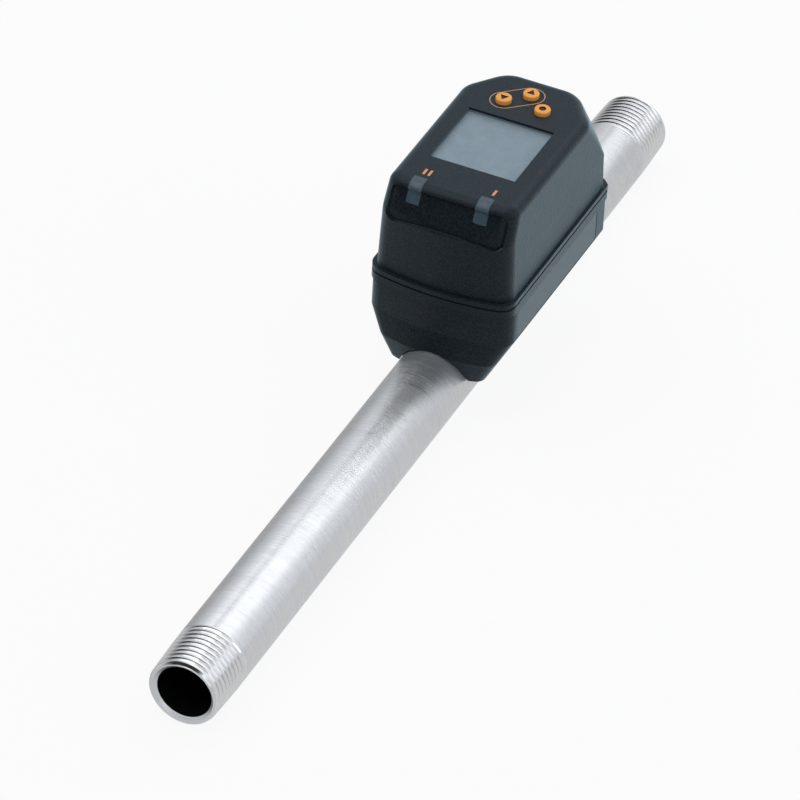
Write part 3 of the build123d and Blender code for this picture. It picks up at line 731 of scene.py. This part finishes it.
# The finishes by the names of their slots, and of the faces and marks that scene pieces add
FINISHES = {
    "stainless": brushed_stainless,
    "housing_plastic": housing_plastic,
    "panel_plastic": panel_plastic,
    "rubber_black": rubber_black,
    "button_orange": button_orange,
    "smoke_lens": smoke_lens,
    "lamp_lens": lamp_lens,
    "display_window": display_window,
    "display_face": display_face,
    "board_green": board_green,
    "inner_black": inner_black,
    "plated_steel": plated_steel,
    "contact_gold": contact_gold,
    "bore_steel": bore_steel,
    "thread_steel": thread_steel,
    "printed_orange": printed_orange,
    "printed_line": printed_line,
    "mark_dark": mark_dark,
}


def material_of(name):
    """The material of a finish, made the first time that it is asked for."""
    return bpy.data.materials.get(FINISH_PREFIX + name) or FINISHES[name]()


# Sizes and colours that a user would change

def length(name, description, value):
    """A length in millimetres, kept in metres."""
    return bpy.props.FloatProperty(
        name=name,
        description=description,
        default=value * MM,
        unit="LENGTH",
        subtype="DISTANCE",
        precision=5,
    )


def colour(name, description, red, green, blue):
    """An opaque colour in linear parts."""
    return bpy.props.FloatVectorProperty(
        name=name,
        description=description,
        default=tint(red, green, blue),
        size=4,
        min=0.0,
        max=1.0,
        subtype="COLOR",
    )


def sides(description, count):
    """A number of sides that round surfaces are made with."""
    return bpy.props.IntProperty(name="Steps", description=description, default=count, min=24)


class FlowMeterColours(bpy.types.PropertyGroup):
    """Darkest and palest tones of the main finishes."""

    steel_dark: colour("Steel, dark", "Darkest tone of the pipe", 0.6, 0.61, 0.626)
    steel_pale: colour("Steel, pale", "Palest tone of the pipe", 0.73, 0.742, 0.76)
    thread_dark: colour("Thread, dark", "Darkest tone of the cut threads", 0.66, 0.66, 0.67)
    thread_pale: colour("Thread, pale", "Palest tone of the cut threads", 0.8, 0.8, 0.8)
    housing_dark: colour("Housing, dark", "Darkest tone of the housing", 0.0008, 0.0014, 0.0024)
    housing_pale: colour("Housing, pale", "Palest tone of the housing", 0.0075, 0.012, 0.018)
    panel_dark: colour("Panel, dark", "Darkest tone of the side panels", 0.016, 0.02, 0.026)
    panel_pale: colour("Panel, pale", "Palest tone of the side panels", 0.021, 0.026, 0.033)
    button_dark: colour("Button, dark", "Darkest tone of the button caps", 0.97, 0.38, 0.06)
    button_pale: colour("Button, pale", "Palest tone of the button caps", 1.0, 0.43, 0.078)
    bar_dark: colour("Bars, dark", "Darkest tone of the printed bars", 0.68, 0.32, 0.16)
    bar_pale: colour("Bars, pale", "Palest tone of the printed bars", 0.8, 0.4, 0.2)
    line_dark: colour("Line, dark", "Darkest tone of the printed line", 0.5, 0.29, 0.18)
    line_pale: colour("Line, pale", "Palest tone of the printed line", 0.62, 0.37, 0.24)
    guide_dark: colour("Guide, dark", "Darkest tone of the light guides", 0.04, 0.07, 0.097)
    guide_pale: colour("Guide, pale", "Palest tone of the light guides", 0.054, 0.09, 0.122)
    display_dark: colour("Display, dark", "Darkest tone of the blank display", 0.6, 0.75, 0.86)
    display_pale: colour("Display, pale", "Palest tone of the blank display", 0.67, 0.83, 0.94)


class FlowMeterPipeSizes(bpy.types.PropertyGroup):
    """Sizes of the pipe and its threads."""

    length: length("Length", "Length of the pipe", 300.0)
    radius: length("Radius", "Outer radius of the pipe", 10.65)
    bore: length("Bore", "Radius of the bore", 8.05)
    mouth: length("Mouth chamfer", "Chamfer at the mouth of the bore", 0.9)
    major: length("Thread radius", "Radius over the thread at the gauge plane", 10.4775)
    gauge: length("Gauge length", "Distance of the gauge plane from the end face", 8.2)
    pitch: length("Pitch", "Pitch of the thread", 1.814)
    depth: length("Thread depth", "Depth of the thread's grooves", 0.9)
    cut: length("Thread length", "Length of full thread", 14.2)
    fade: length("Run-out", "Length over which the grooves fade out", 3.2)
    lead: length("Lead chamfer", "Chamfer on the outside of the end face", 0.5)
    hole: length("Probe hole", "Radius of the hole under the probe socket", 5.6)
    flank: bpy.props.FloatProperty(
        name="Flank angle", description="Half of the thread's angle in degrees", default=27.5
    )
    taper: bpy.props.FloatProperty(
        name="Taper", description="Growth of the diameter per length", default=1 / 16, subtype="FACTOR"
    )
    steps: sides("Sides of the round surfaces", 96)


class FlowMeterConnectorSizes(bpy.types.PropertyGroup):
    """Sizes of the round connector in the far wall."""

    radius: length("Thread radius", "Radius over the thread", 6.0)
    bore: length("Socket", "Radius of the socket", 4.25)
    tube: length("Tube", "Radius of the tube behind the flange", 6.6)
    flange: length("Flange radius", "Radius of the flange", 8.3)
    flange_thickness: length("Flange", "Thickness of the flange", 2.0)
    reach: length("Reach", "Distance from the flange's back to the mouth", 11.4)
    lead: length("Lead chamfer", "Chamfer at the mouth", 0.6)
    undercut: length("Undercut", "Plain neck between the flange and the thread", 1.2)
    pitch: length("Pitch", "Pitch of the thread", 1.0)
    depth: length("Thread depth", "Depth of the thread's grooves", 0.6)
    edge: length("Edge", "Bevel on the rim of the flange", 0.35)
    flank: bpy.props.FloatProperty(
        name="Flank angle", description="Half of the thread's angle in degrees", default=30.0
    )
    steps: sides("Sides of the round surfaces", 72)


class FlowMeterButtonSizes(bpy.types.PropertyGroup):
    """Sizes of the button caps."""

    radius: length("Radius", "Radius of a cap", 2.36)
    rim: length("Rim", "Radius of the rounded rim", 0.45)
    dish: length("Dish", "Depth of the shallow dish in the top", 0.12)
    mark_depth: length("Mark depth", "Depth of the hollow mark", 0.28)
    arrow: length("Arrow", "Distance from the middle of an arrow to its points", 1.5)
    dot: length("Dot", "Radius of the round mark", 1.05)
    steps: sides("Sides of a cap", 64)


class FlowMeterMarkSizes(bpy.types.PropertyGroup):
    """Sizes of the print on the cover."""

    height: length("Ink", "Thickness of the print", 0.03)
    bar_length: length("Bar length", "Length of a bar", 2.8)
    bar_width: length("Bar width", "Width of a bar", 0.75)
    bar_gap: length("Bar spacing", "Distance between the middles of two bars", 1.6)
    bar_place: length("Bar place", "Distance of the bars' middle from the near end of the cover", 13.6)
    single_row: length("Single bar", "Distance of the single bar from the middle plane", 10.5)
    double_row: length("Double bar", "Distance of the two bars from the middle plane", 10.0)
    line_radius: length("Line radius", "Outer radius of the line round two buttons", 4.05)
    line_width: length("Line width", "Width of the line round two buttons", 0.26)
    edge: length("Edge", "Rounding of a bar's corners", 0.12)


class FlowMeterGuideSizes(bpy.types.PropertyGroup):
    """Sizes of the visible faces of the light guides."""

    width: length("Width", "Width of the visible face of a light guide", 3.9)
    rise: length("Rise", "Height of that face over the cover", 0.1)
    left_shift: length("Left guide", "Shift of the left guide's face to the left", 0.4)
    right_shift: length("Right guide", "Shift of the right guide's face to the left", 0.3)


class FlowMeterStageSizes(bpy.types.PropertyGroup):
    """Place of the camera, and side of the floor."""

    azimuth: bpy.props.FloatProperty(
        name="Azimuth", description="Camera's turn round the vertical in degrees", default=-66.994
    )
    elevation: bpy.props.FloatProperty(
        name="Elevation", description="Camera's height over the horizon in degrees", default=37.062
    )
    roll: bpy.props.FloatProperty(name="Roll", description="Camera's roll in degrees", default=3.371)
    distance: length("Distance", "Distance of the camera from its target", 2105.546)
    target_along: length("Target along", "Camera's target along the pipe", 135.651)
    target_across: length("Target across", "Camera's target across the pipe", -0.056)
    target_up: length("Target up", "Height of the camera's target", 7.694)
    lens: bpy.props.FloatProperty(
        name="Lens", description="Focal length in millimetres", default=340.37, unit="CAMERA"
    )
    floor_size: length("Floor", "Side of the floor", 12000.0)


# The pieces

def pipe_profile(sizes, station):
    """Half section of the pipe blank as points in the plane of X and Z."""
    taper_run = sizes.taper / 2
    mouth_radius = sizes.major - sizes.gauge * taper_run
    cone_end = (sizes.radius - mouth_radius) / taper_run
    near = [
        (0.0, sizes.bore + sizes.mouth),
        (0.0, mouth_radius - sizes.lead),
        (sizes.lead, mouth_radius + sizes.lead * taper_run),
        (cone_end, sizes.radius),
    ]
    drilled = [(station - 2 * sizes.hole, sizes.radius), (station + 2 * sizes.hole, sizes.radius)]
    far = [(sizes.length - along, out) for along, out in reversed(near)]
    inner = [(sizes.length - sizes.mouth, sizes.bore), (sizes.mouth, sizes.bore)]
    return [(along, 0.0, out) for along, out in near + drilled + far + inner]


def run_out_profile(sizes):
    """Half section of the cone that lifts the end of a groove out of the pipe."""
    start = sizes.cut - sizes.fade / 2
    root = sizes.major - sizes.depth
    edge = sizes.cut + sizes.fade + sizes.pitch
    end = sizes.cut + sizes.fade + 3 * sizes.pitch
    return [
        (start, 0.0, 0.0),
        (start, 0.0, root - sizes.depth / 2),
        (edge, 0.0, sizes.radius + sizes.depth / 2),
        (end, 0.0, sizes.radius + sizes.depth * 2),
        (end, 0.0, 0.0),
    ]


def make_pipe(sizes):
    """The pipe with a tapered thread cut into both ends and the hole under the probe."""
    low_corner, high_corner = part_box("probe_socket")
    station = (low_corner + high_corner) / 2
    profile = pipe_profile(sizes, station.x)
    pipe = turned("threaded_pipe", profile, (1, 0, 0), (0, 0, 0), sizes.steps, closed=True)
    pipe.data.materials.append(material_of("stainless"))
    middle = Vector((sizes.length / 2, 0, 0))
    cutter = thread_cutter(
        "pipe_groove",
        -LEAD_IN * sizes.pitch,
        sizes.cut + sizes.fade,
        sizes.pitch,
        sizes.major - sizes.gauge * sizes.taper / 2,
        sizes.depth,
        sizes.flank,
        sizes.taper,
        sizes.steps,
    )
    cutter.data.materials.append(material_of("thread_steel"))
    fade = turned("groove_fade", run_out_profile(sizes), (1, 0, 0), (0, 0, 0), sizes.steps)
    apply_boolean(cutter, fade, "DIFFERENCE")
    far_cutter = duplicate(cutter, "pipe_groove_far")
    turn_round(far_cutter, middle)
    apply_boolean(pipe, cutter, "DIFFERENCE")
    apply_boolean(pipe, far_cutter, "DIFFERENCE")
    deselect_all()
    bpy.ops.mesh.primitive_cylinder_add(
        vertices=sizes.steps,
        radius=sizes.hole,
        depth=sizes.radius * 2,
        location=(station.x, station.y, sizes.radius),
    )
    drill = named("probe_drill")
    bpy.ops.object.transform_apply(location=True, rotation=True, scale=True)
    apply_boolean(pipe, drill, "DIFFERENCE")
    close_up(pipe, MERGE)
    pipe.data.materials.append(material_of("bore_steel"))
    inside = len(pipe.data.materials) - 1
    for face in pipe.data.polygons:
        if face.center.yz.length < sizes.bore + RADIUS_SLACK and abs(face.normal.x) < END_FACE:
            face.material_index = inside
    if max(vertex.co.yz.length for vertex in pipe.data.vertices) > sizes.radius + RADIUS_SLACK:
        raise RuntimeError("the grooves weren't cut out of the pipe")
    smooth(pipe)
    finish_piece(pipe, material_of("stainless"), "stainless", BODY, "meter_pipe")
    return pipe


def make_connector(sizes):
    """The connector's shell with its fine thread and a bevelled flange."""
    low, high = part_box("connector_shell")
    centre = (low + high) / 2
    back = high.x - sizes.reach
    front = back + sizes.flange_thickness
    half_section = [
        (low.x, sizes.bore),
        (low.x, sizes.tube),
        (back, sizes.tube),
        (back, sizes.flange),
        (front - sizes.edge, sizes.flange),
        (front, sizes.flange - sizes.edge),
        (front, sizes.radius - sizes.depth),
        (front + sizes.undercut, sizes.radius - sizes.depth),
        (front + sizes.undercut + sizes.depth, sizes.radius),
        (high.x - sizes.lead, sizes.radius),
        (high.x, sizes.radius - sizes.lead),
        (high.x, sizes.bore),
    ]
    points = [(along, 0.0, centre.z + out) for along, out in half_section]
    shell = turned(
        "threaded_connector", points, (1, 0, 0), (0, 0, centre.z), sizes.steps, closed=True
    )
    shell.data.materials.append(material_of("plated_steel"))
    cutter = thread_cutter(
        "connector_groove",
        front + sizes.undercut - sizes.pitch,
        high.x + sizes.pitch,
        sizes.pitch,
        sizes.radius,
        sizes.depth,
        sizes.flank,
        0.0,
        sizes.steps,
    )
    with editing(cutter):
        bpy.ops.transform.translate(value=(0, 0, centre.z))
    cutter.data.materials.append(material_of("plated_steel"))
    apply_boolean(shell, cutter, "DIFFERENCE")
    close_up(shell, MERGE)
    smooth(shell)
    finish_piece(shell, material_of("plated_steel"), "plated_steel", BODY, "connector_shell")
    return shell


def make_button(sizes, name, turn):
    """A cap with a rounded rim, a shallow dish and a hollow mark in dark ink."""
    node = "button_" + name
    low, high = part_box(node)
    centre = (low + high) / 2
    reach = (high.x - low.x) / 2
    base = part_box("button_" + name + "_plunger")[1].z
    stem = (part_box(node + "_plunger")[1].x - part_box(node + "_plunger")[0].x) / 2
    if abs(base - low.z) > MM:
        raise RuntimeError("the cap doesn't stand on its plunger")
    collar_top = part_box("housing_cover")[1].z - COLLAR_DROP
    collar_low = collar_top - COLLAR_THICKNESS
    rim = arc((sizes.radius - sizes.rim, high.z - sizes.rim), sizes.rim, 0.0, 90.0, RIM_STEPS)
    half_section = [
        (0.0, low.z),
        (stem, low.z),
        (stem, collar_low),
        (reach, collar_low),
        (reach, collar_top),
        (sizes.radius, collar_top),
        *rim,
        (0.0, high.z - sizes.dish),
    ]
    points = [(centre.x + out, centre.y, up) for out, up in half_section]
    cap = turned("cap_" + name, points, (0, 0, 1), (centre.x, centre.y, 0), sizes.steps)
    cap.data.materials.append(material_of("button_orange"))
    deselect_all()
    corners, mark_radius = (sizes.steps, sizes.dot) if turn is None else (3, sizes.arrow)
    bpy.ops.mesh.primitive_cylinder_add(
        vertices=corners,
        radius=mark_radius,
        depth=2 * sizes.mark_depth,
        location=(centre.x, centre.y, high.z - sizes.dish),
        rotation=(0, 0, math.radians((turn or 0.0) - 90.0)),
    )
    tool = named("mark_tool")
    bpy.ops.object.transform_apply(location=True, rotation=True, scale=True)
    tool.data.materials.append(material_of("mark_dark"))
    apply_boolean(cap, tool, "DIFFERENCE")
    close_up(cap, MERGE)
    smooth(cap, SHARP_CAP_EDGE)
    finish_piece(cap, material_of("button_orange"), "button_orange", name + "_button", node)
    return cap


def make_bar(sizes, name, along, across, top):
    """One printed bar with rounded corners."""
    deselect_all()
    bpy.ops.mesh.primitive_cube_add(size=1.0, location=(along, across, top + sizes.height / 2))
    bar = named(name)
    bar.scale = (sizes.bar_length, sizes.bar_width, sizes.height)
    bpy.ops.object.transform_apply(location=True, rotation=True, scale=True)
    for edge in bar.data.edges:
        ends = [bar.data.vertices[i].co for i in edge.vertices]
        edge.select = abs(ends[0].z - ends[1].z) > sizes.height / 2
    select_only(bar)
    bpy.ops.object.mode_set(mode="EDIT")
    bpy.ops.mesh.select_mode(type="EDGE")
    bpy.ops.mesh.bevel(offset=sizes.edge, segments=BAR_STEPS, affect="EDGES")
    bpy.ops.object.mode_set(mode="OBJECT")
    finish_piece(bar, material_of("printed_orange"), "button_orange", BODY)
    return bar


def make_guide(sizes, side, shift):
    """A light guide whose visible face laps over the edges of its slot in the cover."""
    node = "light_guide_" + side
    low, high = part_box(node)
    guide = duplicate(frame["nodes"][node], "lapped_guide_" + side)
    del guide["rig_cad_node"]
    bpy.ops.object.parent_clear(type="CLEAR_KEEP_TRANSFORM")
    close_up(guide, MERGE)
    widening = sizes.width / (high.y - low.y)
    with editing(guide):
        bpy.ops.transform.resize(value=(1.0, widening, 1.0), center_override=(low + high) / 2)
        bpy.ops.transform.translate(value=(0.0, shift, 0.0))
        bpy.ops.transform.shrink_fatten(value=sizes.rise)
    smooth(guide)
    finish_piece(guide, material_of("smoke_lens"), "smoke_lens", BODY, node)
    return guide


def make_line(sizes, top):
    """The thin printed line round the up and down buttons."""
    ends = []
    for name in ("up", "down"):
        low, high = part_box("button_" + name)
        ends.append((low + high) / 2)
    first, second = ends
    run = Vector((second.x - first.x, second.y - first.y, 0.0))
    deselect_all()
    bpy.ops.mesh.primitive_circle_add(
        vertices=LINE_SIDES,
        radius=sizes.line_radius,
        fill_type="NGON",
        location=(first.x, first.y, top + sizes.height),
        rotation=(0, 0, math.atan2(run.y, run.x)),
    )
    line = named("button_line")
    bpy.ops.object.transform_apply(location=True, rotation=True, scale=True)
    select_only(line)
    bpy.ops.object.mode_set(mode="EDIT")
    bpy.ops.mesh.select_mode(type="VERT")
    bpy.ops.mesh.select_all(action="DESELECT")
    bpy.ops.object.mode_set(mode="OBJECT")
    for vertex in line.data.vertices:
        out = vertex.co - Vector((first.x, first.y, vertex.co.z))
        vertex.select = out.dot(run) > -SIDE_SLACK
    bpy.ops.object.mode_set(mode="EDIT")
    bpy.ops.transform.translate(value=run)
    bpy.ops.mesh.select_mode(type="FACE")
    bpy.ops.mesh.select_all(action="SELECT")
    bpy.ops.mesh.inset(thickness=sizes.line_width, depth=0.0)
    bpy.ops.mesh.delete(type="FACE")
    bpy.ops.mesh.select_all(action="SELECT")
    bpy.ops.mesh.extrude_region_move(TRANSFORM_OT_translate={"value": (0, 0, -sizes.height)})
    bpy.ops.mesh.select_all(action="SELECT")
    bpy.ops.mesh.normals_make_consistent(inside=False)
    bpy.ops.object.mode_set(mode="OBJECT")
    finish_piece(line, material_of("printed_line"), "button_orange", BODY)
    return line


def dress_nodes():
    """Gives every CAD node the finish of its slot."""
    for row in frame["record"]["subparts"]:
        node = frame["nodes"][row["node"]]
        node.data.materials.clear()
        node.data.materials.append(material_of(row["material_slot"]))


# The stage

def add_lamp(name, place, aim, extent, power, light):
    """A rectangular soft lamp that looks at a point."""
    deselect_all()
    bpy.ops.object.light_add(type="AREA", location=place)
    lamp = bpy.context.object
    lamp.name = name
    lamp.data.shape = "RECTANGLE"
    lamp.data.size, lamp.data.size_y = extent
    lamp.data.energy = power
    lamp.data.color = light
    lamp.rotation_euler = (Vector(aim) - Vector(place)).to_track_quat("-Z", "Y").to_euler()
    return lamp


def add_camera(sizes):
    """The camera at the photograph's angle."""
    turn, rise, roll = (math.radians(a) for a in (sizes.azimuth, sizes.elevation, sizes.roll))
    back = Vector((math.sin(turn) * math.cos(rise), -math.cos(turn) * math.cos(rise), math.sin(rise)))
    right = Vector((math.cos(turn), math.sin(turn), 0.0))
    up = back.cross(right)
    tilted_right = math.cos(roll) * right + math.sin(roll) * up
    tilted_up = math.cos(roll) * up - math.sin(roll) * right
    target = Vector((sizes.target_along, sizes.target_across, sizes.target_up))
    deselect_all()
    bpy.ops.object.camera_add(location=target + back * sizes.distance)
    camera = bpy.context.object
    camera.name = "photo_camera"
    turned_to = Matrix((tilted_right, tilted_up, back)).transposed().to_4x4()
    camera.matrix_world = Matrix.Translation(target + back * sizes.distance) @ turned_to
    camera.data.sensor_width = 36.0
    camera.data.lens = sizes.lens
    camera.data.clip_end = 100.0
    bpy.context.scene.camera = camera
    return camera


def add_floor(sizes):
    """A wide pale floor under the pipe."""
    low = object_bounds()[0]
    deselect_all()
    bpy.ops.mesh.primitive_plane_add(size=sizes.floor_size, location=(0, 0, low.z))
    floor = named("studio_floor")
    with editing(floor):
        bpy.ops.mesh.subdivide(number_cuts=3)
    floor.data.materials.append(floor_paper())
    floor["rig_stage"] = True
    return floor


def light_world():
    """White to the camera, dimmer to gloss, and a plain grey light to the rest."""
    world = bpy.data.worlds.new("studio_world")
    world.use_nodes = True
    bpy.context.scene.world = world
    tree = world.node_tree
    seen, strength = seen_light(tree)
    strength = strength.math("MAXIMUM", (1.0 - seen) * WORLD_LIGHT)
    background = tree.nodes["Background"]
    background.inputs["Color"].default_value = tint(0.94, 0.97, 1.0)
    tree.links.new(strength.socket, background.inputs["Strength"])


# Operators

class FLOWMETER_OT_finishes(bpy.types.Operator):
    """Give every CAD node its finish"""

    bl_idname = "flowmeter.finishes"
    bl_label = "Finishes"

    def execute(self, context):
        dress_nodes()
        return {"FINISHED"}


class FLOWMETER_OT_pipe(bpy.types.Operator):
    """Make the pipe with its tapered threads"""

    bl_idname = "flowmeter.pipe"
    bl_label = "Pipe"

    def execute(self, context):
        make_pipe(context.scene.flow_meter_pipe)
        return {"FINISHED"}


class FLOWMETER_OT_connector(bpy.types.Operator):
    """Make the threaded shell of the connector"""

    bl_idname = "flowmeter.connector"
    bl_label = "Connector"

    def execute(self, context):
        make_connector(context.scene.flow_meter_connector)
        return {"FINISHED"}


class FLOWMETER_OT_buttons(bpy.types.Operator):
    """Make the three button caps"""

    bl_idname = "flowmeter.buttons"
    bl_label = "Buttons"

    def execute(self, context):
        for name, turn in BUTTONS.items():
            make_button(context.scene.flow_meter_buttons, name, turn)
        return {"FINISHED"}


class FLOWMETER_OT_marks(bpy.types.Operator):
    """Print the bars and the line on the cover"""

    bl_idname = "flowmeter.marks"
    bl_label = "Marks"

    def execute(self, context):
        sizes = context.scene.flow_meter_marks
        cover_low, cover_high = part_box("housing_cover")
        along = cover_low.x + sizes.bar_place
        half_gap = sizes.bar_gap / 2
        make_bar(sizes, "mark_one", along, -sizes.single_row, cover_high.z)
        make_bar(sizes, "mark_two_outer", along, sizes.double_row + half_gap, cover_high.z)
        make_bar(sizes, "mark_two_inner", along, sizes.double_row - half_gap, cover_high.z)
        make_line(sizes, cover_high.z)
        return {"FINISHED"}


class FLOWMETER_OT_guides(bpy.types.Operator):
    """Lay the visible faces of the light guides over their slots"""

    bl_idname = "flowmeter.guides"
    bl_label = "Light guides"

    def execute(self, context):
        sizes = context.scene.flow_meter_guides
        make_guide(sizes, "left", sizes.left_shift)
        make_guide(sizes, "right", sizes.right_shift)
        return {"FINISHED"}


class FLOWMETER_OT_stage(bpy.types.Operator):
    """Set up the camera, the floor, the lamps and the world"""

    bl_idname = "flowmeter.stage"
    bl_label = "Stage"

    def execute(self, context):
        sizes = context.scene.flow_meter_stage
        add_camera(sizes)
        add_floor(sizes)
        light_world()
        for name, values in LAMPS.items():
            add_lamp(name, *values)
        context.scene.view_settings.view_transform = "Standard"
        return {"FINISHED"}


class FLOWMETER_PT_panel(bpy.types.Panel):
    """One button for each group of pieces and one for the stage"""

    bl_label = "Flow meter"
    bl_idname = "FLOWMETER_PT_panel"
    bl_space_type = "VIEW_3D"
    bl_region_type = "UI"
    bl_category = "Flow meter"

    def draw(self, context):
        for operator in OPERATORS:
            self.layout.operator(operator.bl_idname)


OPERATORS = (
    FLOWMETER_OT_finishes,
    FLOWMETER_OT_pipe,
    FLOWMETER_OT_connector,
    FLOWMETER_OT_buttons,
    FLOWMETER_OT_marks,
    FLOWMETER_OT_guides,
    FLOWMETER_OT_stage,
)
SETTINGS = {
    "flow_meter_colours": FlowMeterColours,
    "flow_meter_pipe": FlowMeterPipeSizes,
    "flow_meter_connector": FlowMeterConnectorSizes,
    "flow_meter_buttons": FlowMeterButtonSizes,
    "flow_meter_marks": FlowMeterMarkSizes,
    "flow_meter_guides": FlowMeterGuideSizes,
    "flow_meter_stage": FlowMeterStageSizes,
}


def register():
    """Registers the settings, the operators and the panel."""
    for group in SETTINGS.values():
        bpy.utils.register_class(group)
    for operator in OPERATORS:
        bpy.utils.register_class(operator)
    bpy.utils.register_class(FLOWMETER_PT_panel)
    for name, group in SETTINGS.items():
        setattr(bpy.types.Scene, name, bpy.props.PointerProperty(type=group))


def unregister():
    """Takes back what register did, in the opposite order."""
    for name in SETTINGS:
        delattr(bpy.types.Scene, name)
    bpy.utils.unregister_class(FLOWMETER_PT_panel)
    for operator in reversed(OPERATORS):
        bpy.utils.unregister_class(operator)
    for group in reversed(list(SETTINGS.values())):
        bpy.utils.unregister_class(group)


def main():
    """Builds everything."""
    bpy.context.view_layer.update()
    register()
    bpy.ops.flowmeter.finishes()
    bpy.ops.flowmeter.pipe()
    bpy.ops.flowmeter.connector()
    bpy.ops.flowmeter.buttons()
    bpy.ops.flowmeter.marks()
    bpy.ops.flowmeter.guides()
    bpy.ops.flowmeter.stage()


if __name__ == "__main__":
    main()
